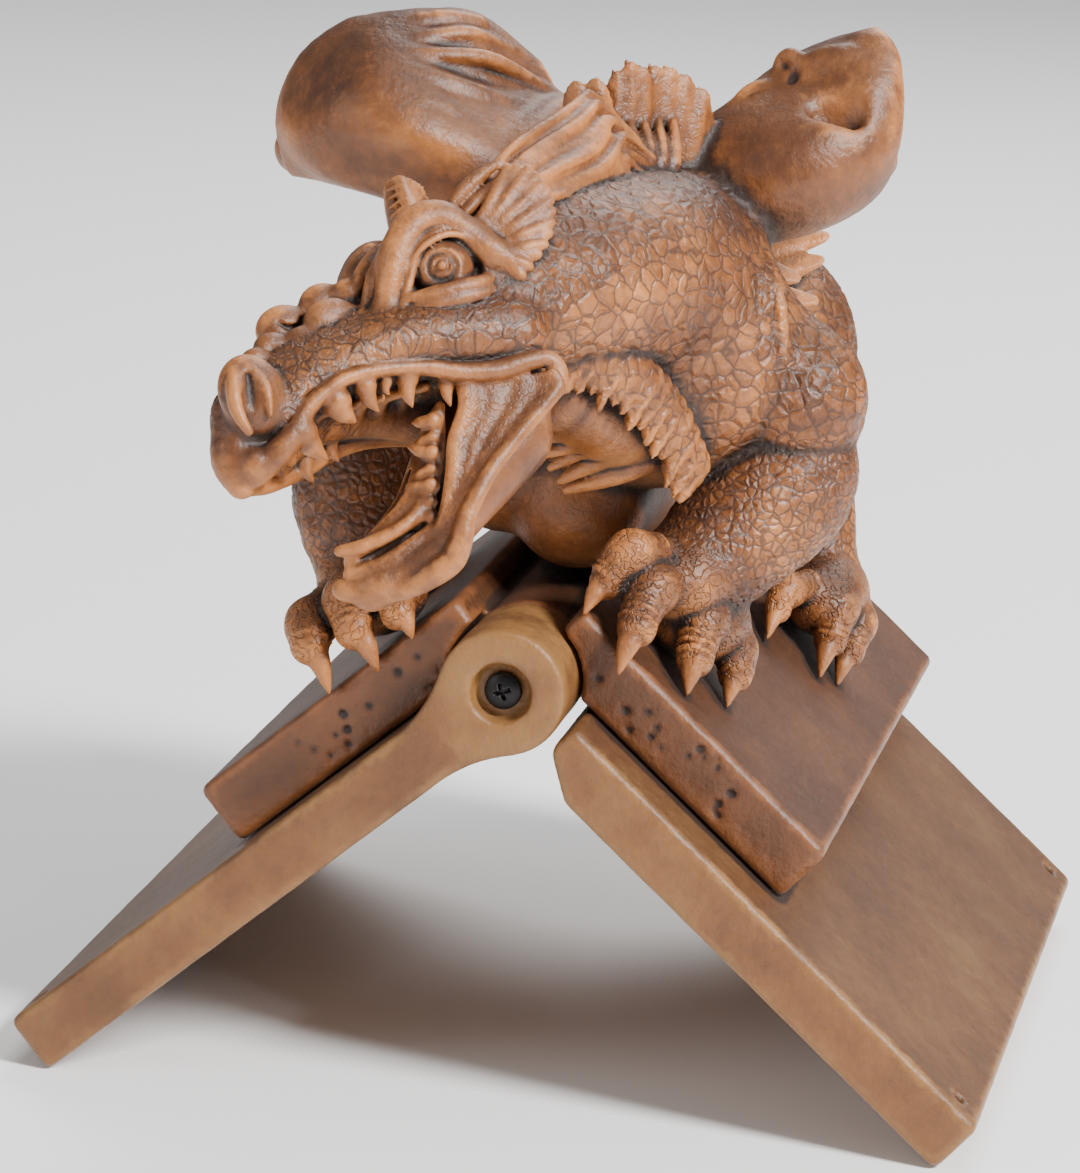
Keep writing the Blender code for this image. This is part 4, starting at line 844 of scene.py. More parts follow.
def eyes(clay):
    """Round eyes with a raised iris, in thick lids under heavy arched brows."""
    for side, shift in ((1.0, 0.0), (-1.0, 1.5)):
        clay.ball(on_head(1, side * 12, 5 + shift), (18, 9, 11), HEAD, 3.0)
        clay.hollow(on_head(-0.5, side * 23.5, 0.5), (11.5, 5.5, 9.0), HEAD, 1.2)
        clay.rod(head_line((23, side * 14.5, -9), (18, side * 16, 0), (11.5, side * 17.5, 10),
                           (4, side * 18.5, 15.5), (-3.5, side * 20, 15), (-9, side * 21.5, 9),
                           (-14, side * 23, 1.5), (-20, side * 24, -5)),
                 [2.6, 4.4, 5.4, 5.8, 5.8, 5.4, 4.8, 3.4], 4.0)
        clay.rod(head_line((18.5, side * 18.5, -10), (14.2, side * 19.5, -3),
                           (8.0, side * 21.5, 6.8), (-0.6, side * 23, 10.6),
                           (-7.4, side * 24, 8.6), (-12, side * 24.6, 2.2),
                           (-16.5, side * 25, -4)), [1.2, 1.5, 1.6, 1.7, 1.7, 1.6, 1.2], 0.6)
        centre = on_head(0.4, side * 17.2, -0.4)
        clay.ball(centre, 10.2, None, 0.3)
        for drop, out in ((-7.8, 0.0), (-11.0, -0.4)):
            clay.rod(head_line((16, side * (19.5 + out), drop + 1.0), (9, side * (23 + out), drop),
                               (1, side * (25.4 + out), drop - 0.6),
                               (-6.5, side * (25.2 + out), drop - 0.6),
                               (-13, side * (23 + out), drop + 0.8)),
                     [1.4, 2.4, 2.7, 2.5, 1.6], 0.6)
        clay.rod(head_line((11, side * 22, 4.4), (6, side * 24.4, 7.4), (-1, side * 25.6, 8.6),
                           (-7.5, side * 25.2, 6), (-11.5, side * 24, 0)),
                 [0.7, 1.1, 1.2, 1.1, 0.7], 0.4)
        gaze = unit(HEAD[0] * 0.42 + HEAD[1] * side * 0.90 - HEAD[2] * 0.03)
        front = centre + gaze * 9.9
        flat = unit(np.cross(gaze, HEAD[2]))
        tall = np.cross(flat, gaze)
        for reach, depth in ((4.4, 1.15), (2.1, 0.85)):
            ring = [front + flat * (reach * math.cos(turn)) + tall * (reach * math.sin(turn))
                    - gaze * (reach * reach * 0.04) for turn in np.linspace(0.0, math.tau, 17)]
            clay.groove(ring, [depth] * 17, 0.3, 1)
        clay.ball(front + gaze * 0.2, 1.5, None, 0.2)
        clay.hollow(front + gaze * 1.8, 0.8, None, 0.2)
    clay.rod(head_line((17, -12, 2), (12, -13, 12), (5, -14, 17)), [3.5, 4.0, 3.5], 1.2)
    clay.rod(head_line((26, 8, -6), (19, 10, 3), (11, 10, 10), (4, 8, 14)),
             [1.4, 3.4, 3.8, 2.4], 1.0)
    clay.rod(head_line((27, 2, -2), (19, 4, 7), (11, 3, 13)), [1.4, 3.2, 2.4], 0.8)
    clay.groove(head_line((25, 5.5, -3), (18, 7.5, 6), (10, 7, 13)), [0.5, 0.9, 0.5], 0.6)


EAR_RIBS = 14


def ears(clay):
    """Ribbed ear fans that sweep back from the brows, and a ribbed horn on the far side."""
    for side in (-1.0, 1.0):
        root = on_head(-13, side * 21, 7)
        tips = head_line((-31, side * 22, 25.5), (-36, side * 24.5, 23), (-38.2, side * 26, 18),
                         (-38.8, side * 27, 12.5), (-37, side * 28, 6), (-33, side * 28, 0),
                         (-27, side * 28, -5), (-20, side * 27.5, -9.5))
        tips = smooth_path(tips, EAR_RIBS)
        lows = np.array([on_head(-12 - 0.35 * index, side * 21.5, 8.5 - 0.95 * index)
                         for index in range(EAR_RIBS)])
        web = tips + (lows - tips) * 0.1 - HEAD[1] * (side * 0.8)
        clay.sheet(np.stack((lows, (lows + web) / 2.0 + HEAD[1] * (side * 1.2), web)), 3.2, 1.0)
        for index, (low, tip) in enumerate(zip(lows, tips)):
            middle = (low + tip) / 2.0 + HEAD[1] * (side * (2.6 - 0.9 * (index % 2)))
            clay.rod([low, middle, tip], [1.6, 1.9, 1.6], 0.7, SMOOTH)
        clay.rod([root, lows[5], lows[9]], [5.0, 4.0, 3.0], 2.0, SMOOTH)
        clay.rod(head_line((-8, side * 17.5, 17), (-18, side * 20, 23.5), (-31, side * 22, 28.5)),
                 [1.8, 2.6, 1.0], 0.9, STREAKED)
        clay.rod(head_line((-9, side * 18.5, 13), (-19, side * 21, 18.5), (-31, side * 23, 24)),
                 [1.6, 2.2, 0.9], 0.9, STREAKED)
        clay.rod(head_line((-8, side * 20, 9), (-14, side * 23.5, 2), (-19, side * 25, -4)),
                 [3.6, 4.6, 3.6], 1.6)
    clay.rod(head_line((-14, -16, 22), (-14.5, -17.5, 31), (-13, -18, 37)), [8.0, 6.4, 3.0], 1.5)
    for _index, share in shares(6):
        clay.rod(head_line((-6 - 2.5 * share, -14, 24 + 14 * share), (-12, -9.5, 26 + 11 * share),
                           (-20, -12, 24 + 9 * share)), [0.6, 1.1, 0.6], 0.5, SMOOTH)


FORMS = (torso, neck, neck_pleats, chest_fringe, tail, legs, flank_tufts, mane, wings, skull,
         mouth, eyes, ears)

# Where the cuts between the figure's blocks lie, and the room that each block takes
NECK_CUT = unit(vec(0.62, 0.74, 0.1))
NECK_CUT_PLACE = -6.0
HEAD_FLOOR = -12.0
HEAD_BACK = 34.0
WAIST = 134.0
HEAD_BLOCK = ((-112, -112, -20), (36, 42, 150))
FRONT_BLOCK = ((-120, -32, -74), (114, WAIST + 5, 164))
RUMP_BLOCK = ((-120, WAIST - 5, -84), (118, 286, 166))
SADDLE_BLOCK = ((-109, 18, -113), (109, 285, 5))


def past_neck(x, y, z):
    """How far a place lies behind the cut through the neck."""
    return x * NECK_CUT[0] + y * NECK_CUT[1] + z * NECK_CUT[2] - NECK_CUT_PLACE


def outside_head(x, y, z):
    """How far a place lies outside the head's part, which ends above the saddle."""
    return np.maximum(past_neck(x, y, z), np.maximum(HEAD_FLOOR - z, y - HEAD_BACK))


def outside_middle(x, y, z):
    """How far a place lies outside the part between the neck's cut and the waist."""
    return np.maximum(-outside_head(x, y, z), y - WAIST)


def ahead_of_waist(_x, y, _z):
    """How far a place lies in front of the waist."""
    return WAIST - y


def press_saddle(clay):
    """The saddle: an inverted V with a lug round the hinge and a channel at each end."""
    for side in (-1.0, 1.0):
        clay.plate(side, (0.0, SADDLE_REACH), (SADDLE_BOTTOM, SADDLE_BOTTOM + SADDLE_THICKNESS),
                   (SADDLE_SETBACK, LEAF_DEPTH), SADDLE_EDGE)
    x, y, z = clay.places(clay.whole)
    around = np.sqrt(x * x + (z + np.float32(RIDGE)) ** 2)
    front = y - np.float32(KNUCKLE_LENGTH + CLEARANCE)
    back = np.float32(LEAF_DEPTH - KNUCKLE_LENGTH - CLEARANCE) - y
    lug = np.maximum(around - np.float32(LUG_RADIUS), -np.minimum(front, back))
    clay.add(clay.whole, lug, 1.0, SMOOTH)
    for end in (front, back):
        clay.cut(clay.whole, np.maximum(around - np.float32(CHANNEL_RADIUS), end), 0.6)


def press_pits(clay):
    """Small casting pits in the saddle's front face."""
    chance = np.random.default_rng(PIT_SEED)
    for side in (-1.0, 1.0):
        for _ in range(PIT_COUNT):
            above = -chance.uniform(2.0, SADDLE_THICKNESS - 2.0)
            place = on_saddle(side, chance.uniform(22.0, SADDLE_REACH - 4.0),
                              SADDLE_SETBACK - 0.4, above)
            clay.hollow(place, chance.uniform(0.9, 1.8), None, 0.8)


def hollows_and_edges(clay, neighbours):
    """How hollow or edgy each place is, finely and broadly, with the neighbours in place so that
    the shader paints shade where parts meet.
    """
    alone = clay.field
    marks = clay.marks
    clay.field = alone.copy()
    clay.marks = []
    neighbours(clay)
    kept = {"fine": clay.blurred(FINE_REACH), "broad": clay.blurred(BROAD_REACH)}
    clay.field, clay.marks = alone, marks
    kept.update(zip(MARKS, marks))
    return kept


def figure_block(name, block, step, zone):
    """Model the figure in one block and keep the part of it in a zone."""
    clay = Clay(*block, step)
    for form in FORMS:
        form(clay)
    # The saddle is in place while the hollows are measured, so painted shade falls where the figure
    # meets it.
    kept = hollows_and_edges(clay, press_saddle)
    clay.keep(zone)
    return clay.mesh(name, kept)


def saddle_block(step):
    """Model the saddle under the figure."""
    clay = Clay(*SADDLE_BLOCK, step)
    press_saddle(clay)
    press_pits(clay)

    # The figure's lower parts are pressed on only while the hollows are measured, so painted shade
    # falls on the saddle under and beside them.
    def figure(block):
        for form in (torso, legs, tail, chest_fringe):
            form(block)

    return clay.mesh("saddle", hollows_and_edges(clay, figure))


def leaf_block(node_name, step):
    """Cast leaf with worn, softened edges."""
    solid = bpy.data.objects[node_name].data
    points = np.empty(len(solid.vertices) * 3, np.float32)
    solid.vertices.foreach_get("co", points)
    points = (points.reshape(-1, 3) - PLACE) / MM
    solid.calc_loop_triangles()
    corners = np.empty(len(solid.loop_triangles) * 3, np.int32)
    solid.loop_triangles.foreach_get("vertices", corners)
    clay = Clay(points.min(0) - 4.0, points.max(0) + 4.0, step)
    shape = vdb.FloatGrid.createLevelSetFromPolygons(
        ((points - clay.low) / step).astype(np.float32), triangles=corners.reshape(-1, 3),
        transform=vdb.createLinearTransform(voxelSize=1.0), halfWidth=4.0 / step)
    distance = np.empty(clay.shape, np.float32)
    shape.copyToArray(distance, ijk=(0, 0, 0))
    clay.field = distance * np.float32(step)
    clay.field = clay.blurred(step) + np.float32(0.05)
    side = 1.0 if node_name.startswith("right") else -1.0
    for y in (FIXING_INSET, LEAF_DEPTH - FIXING_INSET):
        line = [on_saddle(side, LEAF_REACH - FIXING_INSET, y, above) - vec(0, 0, RIDGE)
                for above in (14.0, LEAF_TOP - 1.0, -16.0)]
        clay.groove(line, [4.2, 2.5, 2.5], 0.4)
    # The saddle is in place while the hollows are measured, so painted shade falls where the leaf
    # meets it.
    return clay.mesh(node_name + "_casting", hollows_and_edges(clay, press_saddle))


def screw_block(front, step):
    """Pan-head screw with a tapered cross in its crowned head."""
    tip, seat, radius, height, dome, shank_radius = 62.0, 6.7, 6.0, 4.2, 11.0, 3.0
    clay = Clay((-7.5, 0.5, -RIDGE - 7.5), (7.5, tip + 2.0, -RIDGE + 7.5), step)
    x, y, z = clay.places(clay.whole)
    z = z + np.float32(RIDGE)
    around = np.sqrt(x * x + z * z)
    crown = np.sqrt(around ** 2 + (y - (seat - height) - dome) ** 2) - dome
    head = np.maximum(np.maximum(around - radius, y - seat), crown)
    shank = np.maximum(np.maximum(around - shank_radius, seat - 0.5 - y),
                       np.maximum(y - tip, (around + (y - tip)) * 0.7 - 0.7))
    clay.add(clay.whole, head.astype(np.float32), 0.5, SMOOTH)
    clay.add(clay.whole, shank.astype(np.float32), 0.3, SMOOTH)
    deep = y - (seat - height)
    for turn in (0.35, 0.35 + math.pi / 2.0):
        along = x * math.cos(turn) + z * math.sin(turn)
        across = z * math.cos(turn) - x * math.sin(turn)
        arm = np.maximum(np.abs(across) - 0.75 + deep * 0.12, np.abs(along) - 3.3 + deep * 0.7)
        clay.cut(clay.whole, np.maximum(arm, deep - 2.2).astype(np.float32), 0.25)
    mesh = clay.mesh("hinge screw", {"fine": clay.blurred(0.5)})
    if not front:
        turned = Matrix.Rotation(math.pi, 4, "Z")
        middle = Vector((PLACE[0], PLACE[1] + LEAF_DEPTH * MM / 2.0, 0.0))
        mesh.transform(Matrix.Translation(middle) @ turned @ Matrix.Translation(-middle))
    return mesh


# Node trees

def fill(tree, socket, value):
    """Link a socket to another, or set its value."""
    if isinstance(value, bpy.types.NodeSocket):
        tree.links.new(value, socket)
    elif value is not None:
        socket.default_value = value


def add_node(tree, kind, settings=None, **inputs):
    """Add a node with its settings and its inputs."""
    made = tree.nodes.new(kind)
    for key, value in (settings or {}).items():
        setattr(made, key, value)
    for key, value in inputs.items():
        fill(tree, made.inputs[key.replace("_", " ")], value)
    return made


def maths(tree, operation, first, second=0.0, third=None, clamp=False):
    """One arithmetic step on sockets or numbers."""
    made = add_node(tree, "ShaderNodeMath", {"operation": operation, "use_clamp": clamp})
    for socket, value in zip(made.inputs, (first, second, third)):
        fill(tree, socket, value)
    return made.outputs[0]


def step_between(tree, value, low, high, start=0.0, end=1.0):
    """Smooth step from one value to another."""
    made = add_node(tree, "ShaderNodeMapRange", {"interpolation_type": "SMOOTHSTEP"}, Value=value,
                    From_Min=low, From_Max=high, To_Min=start, To_Max=end)
    return made.outputs["Result"]


def mix(tree, share, first, second, blend="MIX"):
    """Mix two colours, each a socket or a plain colour."""
    made = add_node(tree, "ShaderNodeMix", {"data_type": "RGBA", "blend_type": blend})
    for socket, value in zip((made.inputs[0], made.inputs[6], made.inputs[7]),
                             (share, first, second)):
        fill(tree, socket, value)
    return made.outputs[2]


def noise(tree, place, scale, detail=3.0, roughness=0.55):
    """Cloudy value of a given scale at a place."""
    made = add_node(tree, "ShaderNodeTexNoise", None, Vector=place, Scale=scale, Detail=detail,
                    Roughness=roughness)
    return made.outputs["Fac"]


def plate_pattern(tree, place, small, sizes, seed):
    """Distance to the nearest crack between plates, in metres, and a tint for each plate."""
    shifted = add_node(tree, "ShaderNodeVectorMath", {"operation": "ADD"})
    fill(tree, shifted.inputs[0], place)
    fill(tree, shifted.inputs[1], seed)
    wander = add_node(tree, "ShaderNodeTexNoise", None, Vector=shifted.outputs[0],
                      Scale=WANDER_SCALE, Detail=2.0)
    bent = add_node(tree, "ShaderNodeVectorMath", {"operation": "MULTIPLY_ADD"})
    fill(tree, bent.inputs[0], wander.outputs["Color"])
    bent.inputs[1].default_value = (0.005, 0.005, 0.005)
    fill(tree, bent.inputs[2], shifted.outputs[0])
    chosen = step_between(tree, small, 0.4, 0.6)
    change = maths(tree, "SUBTRACT", sizes[1], sizes[0])
    size = maths(tree, "MULTIPLY_ADD", change, maths(tree, "GREATER_THAN", chosen, 0.5), sizes[0])
    scale = maths(tree, "DIVIDE", 1.0, size)
    edge = add_node(tree, "ShaderNodeTexVoronoi", {"feature": "DISTANCE_TO_EDGE"},
                    Vector=bent.outputs[0], Scale=scale, Randomness=0.9)
    cell = add_node(tree, "ShaderNodeTexVoronoi", {"feature": "F1"}, Vector=bent.outputs[0],
                    Scale=scale, Randomness=0.9)
    tint = maths(tree, "MULTIPLY", cell.outputs["Color"], 1.0)
    return maths(tree, "MULTIPLY", edge.outputs["Distance"], size), tint


def sockets(tree, way, entries):
    """Add named sockets to a node group."""
    for name, kind, value in entries:
        made = tree.interface.new_socket(name, in_out=way, socket_type=kind)
        if value is not None:
            made.default_value = value


def relief_tree():
    """Node tree that lifts plates from the hide, with cracks between them, and slight waves."""
    tree = bpy.data.node_groups.new("hide relief", "GeometryNodeTree")
    sockets(tree, "INPUT", (("Geometry", "NodeSocketGeometry", None),
                            ("Plate Size", "NodeSocketFloat", 0.0058),
                            ("Small Plate Size", "NodeSocketFloat", 0.0036),
                            ("Crack Width", "NodeSocketFloat", 0.0011),
                            ("Crack Depth", "NodeSocketFloat", 0.0004),
                            ("Plate Crown", "NodeSocketFloat", 0.0004),
                            ("Unevenness", "NodeSocketFloat", 0.0005),
                            ("Seed", "NodeSocketFloat", 0.0),
                            ("Finish", "NodeSocketMaterial", None)))
    sockets(tree, "OUTPUT", (("Geometry", "NodeSocketGeometry", None),))
    given = tree.nodes.new("NodeGroupInput").outputs
    place = tree.nodes.new("GeometryNodeInputPosition").outputs[0]
    kept = {}
    for label in MARKS:
        found = add_node(tree, "GeometryNodeInputNamedAttribute", {"data_type": "FLOAT"},
                         Name=label)
        kept[label] = found.outputs["Attribute"]
    away, _tint = plate_pattern(tree, place, kept["small"],
                                (given["Plate Size"], given["Small Plate Size"]), given["Seed"])
    crack = step_between(tree, away, 0.0, given["Crack Width"], -1.0, 0.0)
    half = maths(tree, "MULTIPLY", given["Small Plate Size"], 0.5)
    crown = step_between(tree, away, 0.0, half)
    lift = maths(tree, "MULTIPLY", crack, given["Crack Depth"])
    lift = maths(tree, "MULTIPLY_ADD", crown, given["Plate Crown"], lift)
    lift = maths(tree, "MULTIPLY", lift, kept["plates"])
    shifted = add_node(tree, "ShaderNodeVectorMath", {"operation": "ADD"})
    fill(tree, shifted.inputs[0], place)
    fill(tree, shifted.inputs[1], given["Seed"])
    waves = maths(tree, "SUBTRACT", noise(tree, shifted.outputs[0], WAVE_SCALE, 3.0), 0.5)
    lift = maths(tree, "MULTIPLY_ADD", waves, given["Unevenness"], lift)
    normal = tree.nodes.new("GeometryNodeInputNormal").outputs["Normal"]
    push = add_node(tree, "ShaderNodeVectorMath", {"operation": "SCALE"}, Scale=lift)
    fill(tree, push.inputs[0], normal)
    moved = add_node(tree, "GeometryNodeSetPosition", None, Geometry=given["Geometry"],
                     Offset=push.outputs[0])
    upright = add_node(tree, "ShaderNodeSeparateXYZ")
    fill(tree, upright.inputs[0], normal)
    stored = add_node(tree, "GeometryNodeStoreNamedAttribute", {"data_type": "FLOAT"},
                      Geometry=moved.outputs[0], Name="up", Value=upright.outputs["Z"])
    real = add_node(tree, "GeometryNodeRealizeInstances", None, Geometry=stored.outputs[0])
    painted = add_node(tree, "GeometryNodeSetMaterial", None, Geometry=real.outputs[0],
                       Material=given["Finish"])
    end = tree.nodes.new("NodeGroupOutput")
    tree.links.new(painted.outputs[0], end.inputs[0])
    return tree


def plates_group():
    """Shared shader effect: cracks, heights and tints of the plates."""
    tree = bpy.data.node_groups.new("cracked plates", "ShaderNodeTree")
    sockets(tree, "INPUT", (("Place", "NodeSocketVector", None), ("Small", "NodeSocketFloat", 0.0),
                            ("Plate Size", "NodeSocketFloat", 0.0058),
                            ("Small Plate Size", "NodeSocketFloat", 0.0036),
                            ("Crack Width", "NodeSocketFloat", 0.0005)))
    sockets(tree, "OUTPUT", [(name, "NodeSocketFloat", None)
                             for name in ("Crack", "Height", "Tint")])
    given = tree.nodes.new("NodeGroupInput").outputs
    away, tint = plate_pattern(tree, given["Place"], given["Small"],
                               (given["Plate Size"], given["Small Plate Size"]), (0.0, 0.0, 0.0))
    ragged = noise(tree, given["Place"], RAGGED_SCALE, 3.0)
    width = maths(tree, "MULTIPLY", given["Crack Width"], maths(tree, "ADD", ragged, 0.6))
    end = tree.nodes.new("NodeGroupOutput")
    tree.links.new(step_between(tree, away, maths(tree, "MULTIPLY", width, 0.25), width, 1.0, 0.0),
                   end.inputs["Crack"])
    tree.links.new(step_between(tree, away, 0.0, 0.002), end.inputs["Height"])
    tree.links.new(tint, end.inputs["Tint"])
    return tree


def patina_and_painted_light_group():
    """Shared shader effect: dark wash in the hollows that is partly painted shade, painted shade on
    what faces down, worn edges that carry a painted highlight, and dust on what faces up.
    """
    tree = bpy.data.node_groups.new("patina and painted light", "ShaderNodeTree")
    sockets(tree, "INPUT", (("Place", "NodeSocketVector", None),
                            ("Base", "NodeSocketColor", (0.3, 0.14, 0.08, 1.0)),
                            ("Dark", "NodeSocketColor", (0.022, 0.009, 0.005, 1.0)),
                            ("Worn", "NodeSocketColor", (0.50, 0.215, 0.10, 1.0)),
                            ("Dust", "NodeSocketColor", (0.6, 0.48, 0.4, 1.0)),
                            ("Hollow Wash And Shade Share", "NodeSocketFloat", 1.0),
                            ("Dust Share", "NodeSocketFloat", 0.5)))
    sockets(tree, "OUTPUT", (("Colour", "NodeSocketColor", None),
                             ("Roughness", "NodeSocketFloat", None)))
    given = tree.nodes.new("NodeGroupInput").outputs
    fine = add_node(tree, "ShaderNodeAttribute", {"attribute_name": "fine"}).outputs["Fac"]
    broad = add_node(tree, "ShaderNodeAttribute", {"attribute_name": "broad"}).outputs["Fac"]
    above = add_node(tree, "ShaderNodeAttribute", {"attribute_name": "up"}).outputs["Fac"]
    speckle = noise(tree, given["Place"], SPECKLE_SCALE, 4.0, 0.65)
    cloud = noise(tree, given["Place"], DUST_SCALE, 4.0, 0.6)
    loose = maths(tree, "SUBTRACT", speckle, 0.5)
    relief = maths(tree, "MULTIPLY_ADD", fine, 0.95, maths(tree, "MULTIPLY", broad, 0.25))
    # Dark wash in the hollows, partly painted shade: broad hollows and places where parts meet are
    # darkened as shade would darken them.
    hollow = step_between(tree, maths(tree, "MULTIPLY_ADD", loose, 0.35, relief), -0.42, 0.12,
                          1.0, 0.0)
    # Painted shade: what faces down is darkened as if it lay in shadow.
    painted_underside_shade = step_between(tree, maths(tree, "MULTIPLY_ADD", loose, 0.8, above), -0.95, 0.05,
                         0.62, 0.0)
    hollow = maths(tree, "MAXIMUM", hollow, painted_underside_shade)
    colour = mix(tree, maths(tree, "MULTIPLY", hollow, given["Hollow Wash And Shade Share"], None, True),
                 given["Base"], given["Dark"])
    # Lighter edges: partly rubbed wear, partly painted highlight.
    edge = step_between(tree, maths(tree, "MULTIPLY_ADD", loose, 0.9, relief), 0.2, 0.75)
    lighter_edge = maths(tree, "MULTIPLY", edge, step_between(tree, cloud, 0.36, 0.6, 0.15, 0.75))
    colour = mix(tree, lighter_edge, colour, given["Worn"])
    dusty = step_between(tree, above, 0.35, 1.0)
    dusty = maths(tree, "MULTIPLY", dusty, step_between(tree, cloud, 0.36, 0.62))
    dusty = maths(tree, "MULTIPLY", dusty, maths(tree, "ADD", speckle, 0.35))
    colour = mix(tree, maths(tree, "MULTIPLY", dusty, given["Dust Share"], None, True), colour,
                 given["Dust"])
    end = tree.nodes.new("NodeGroupOutput")
    tree.links.new(colour, end.inputs["Colour"])
    rough = maths(tree, "MULTIPLY_ADD", speckle, 0.3, 0.26)
    tree.links.new(maths(tree, "MULTIPLY_ADD", hollow, 0.2, rough), end.inputs["Roughness"])
    return tree


def new_material(name):
    """Empty node material with its shader."""
    made = bpy.data.materials.new(name)
    made.use_nodes = True
    return made, made.node_tree, made.node_tree.nodes["Principled BSDF"]


def group(tree, shared, **inputs):
    """Place a shared effect in a material."""
    made = tree.nodes.new("ShaderNodeGroup")
    made.node_tree = bpy.data.node_groups[shared]
    for key, value in inputs.items():
        fill(tree, made.inputs[key.replace("_", " ")], value)
    return made.outputs


def bumped(tree, shader, heights):
    """One bump from heights given with their depth in millimetres."""
    total = 0.0
    for height, depth in heights:
        total = maths(tree, "MULTIPLY_ADD", height, depth, total)
    made = add_node(tree, "ShaderNodeBump", None, Height=total, Distance=MM, Strength=1.0)
    tree.links.new(made.outputs[0], shader.inputs["Normal"])


def cast_material(name, tones, dust, dust_share, plated):
    """Patinated casting whose base wanders between three tones."""
    made, tree, shader = new_material(name)
    place = tree.nodes.new("ShaderNodeTexCoord").outputs["Object"]
    cloud = noise(tree, place, CLOUD_SCALE, 5.0, 0.62)
    ramp = add_node(tree, "ShaderNodeValToRGB", None, Fac=cloud)
    bar = ramp.color_ramp
    bar.elements.new(0.5)
    for element, spot, tone in zip(bar.elements, (0.32, 0.5, 0.7), tones):
        element.position = spot
        element.color = tone
    drift = maths(tree, "MULTIPLY_ADD", noise(tree, place, DRIFT_SCALE, 2.0), 0.8, 0.62)
    base = mix(tree, 1.0, ramp.outputs["Color"], drift, "MULTIPLY")
    grain = noise(tree, place, GRAIN_SCALE, 4.0, 0.62)
    heights = [(grain, 0.3), (noise(tree, place, RIPPLE_SCALE, 3.0, 0.6), 0.6)]
    if plated:
        labels = {label: add_node(tree, "ShaderNodeAttribute", {"attribute_name": label})
                  .outputs["Fac"] for label in MARKS}
        plates = group(tree, "cracked plates", Place=place, Small=labels["small"])
        share = step_between(tree, labels["plates"], 0.25, 0.75)
        tint = maths(tree, "MULTIPLY_ADD", plates["Tint"], 0.55, 0.72)
        tinted = mix(tree, share, base, mix(tree, 1.0, base, tint, "MULTIPLY"))
        crack = maths(tree, "MULTIPLY", plates["Crack"], share)
        base = mix(tree, maths(tree, "MULTIPLY", crack, 0.72), tinted, (0.035, 0.013, 0.007, 1.0))
        heights.append((maths(tree, "MULTIPLY", plates["Height"], share), 0.8))
        crease = noise(tree, place, CREASE_SCALE, 2.0, 0.4)
        folded = maths(tree, "ABSOLUTE", maths(tree, "SUBTRACT", crease, 0.5))
        folded = step_between(tree, folded, 0.0, 0.07)
        deep = maths(tree, "MULTIPLY_ADD", maths(tree, "SUBTRACT", folded, 1.0),
                     labels["creases"], 1.0)
        heights.append((deep, 0.7))
        base = mix(tree, 1.0, base, maths(tree, "MULTIPLY_ADD", deep, 0.45, 0.55), "MULTIPLY")
    # The lightest tone, brightened, goes on the edges as wear and as a painted highlight.
    aged = group(tree, "patina and painted light", Place=place, Base=base, Worn=darker(tones[2], 1.2), Dust=dust,
                 Dust_Share=dust_share)
    tree.links.new(aged["Colour"], shader.inputs["Base Color"])
    tree.links.new(aged["Roughness"], shader.inputs["Roughness"])
    bumped(tree, shader, heights)
    return made


def steel_material(colour):
    """Blackened steel whose rim is worn lighter."""
    made, tree, shader = new_material("blackened steel")
    place = tree.nodes.new("ShaderNodeTexCoord").outputs["Object"]
    edge = add_node(tree, "ShaderNodeAttribute", {"attribute_name": "fine"}).outputs["Fac"]
    lighter_edge = step_between(tree, edge, 0.05, 0.35)
    worn = (0.16, 0.14, 0.13, 1.0)
    tree.links.new(mix(tree, lighter_edge, colour, worn), shader.inputs["Base Color"])
    shader.inputs["Metallic"].default_value = 0.85
    tree.links.new(maths(tree, "MULTIPLY_ADD", noise(tree, place, RAGGED_SCALE), 0.25, 0.28),
                   shader.inputs["Roughness"])
    return made


# The add-on

class DragonSizes(bpy.types.PropertyGroup):
    """Grain of the clay and sizes of the surface relief."""

    head_grain: bpy.props.FloatProperty(
        name="Head Grain", description="Grid step of the head; the screws take three tenths of it",
        default=0.0008, min=0.0004, precision=5, unit="LENGTH", subtype="DISTANCE")
    body_grain: bpy.props.FloatProperty(
        name="Body Grain", description="Grid step of the body", default=0.001, min=0.0005,
        precision=5, unit="LENGTH", subtype="DISTANCE")
    plate_grain: bpy.props.FloatProperty(
        name="Plate Grain", description="Grid step of the saddle and the leaves",
        default=0.0012, min=0.0006, precision=5, unit="LENGTH", subtype="DISTANCE")
    plate_size: bpy.props.FloatProperty(
        name="Plate Size", description="Width of the plates on the flanks and cheeks",
        default=0.0058, min=0.001, precision=5, unit="LENGTH", subtype="DISTANCE")
    small_plate_size: bpy.props.FloatProperty(
        name="Small Plate Size", description="Width of the plates on the muzzle and forelegs",
        default=0.0036, min=0.001, precision=5, unit="LENGTH", subtype="DISTANCE")
    crack_depth: bpy.props.FloatProperty(
        name="Crack Depth", description="Depth of the cracks between the plates",
        default=0.0004, min=0.0, precision=5, unit="LENGTH", subtype="DISTANCE")
    unevenness: bpy.props.FloatProperty(
        name="Unevenness", description="Height of the slow waves of the cast surface",
        default=0.0005, min=0.0, precision=5, unit="LENGTH", subtype="DISTANCE")
    most_triangles: bpy.props.IntProperty(
        name="Most Triangles", description="Triangles that one piece may have",
        default=192000, min=1000)


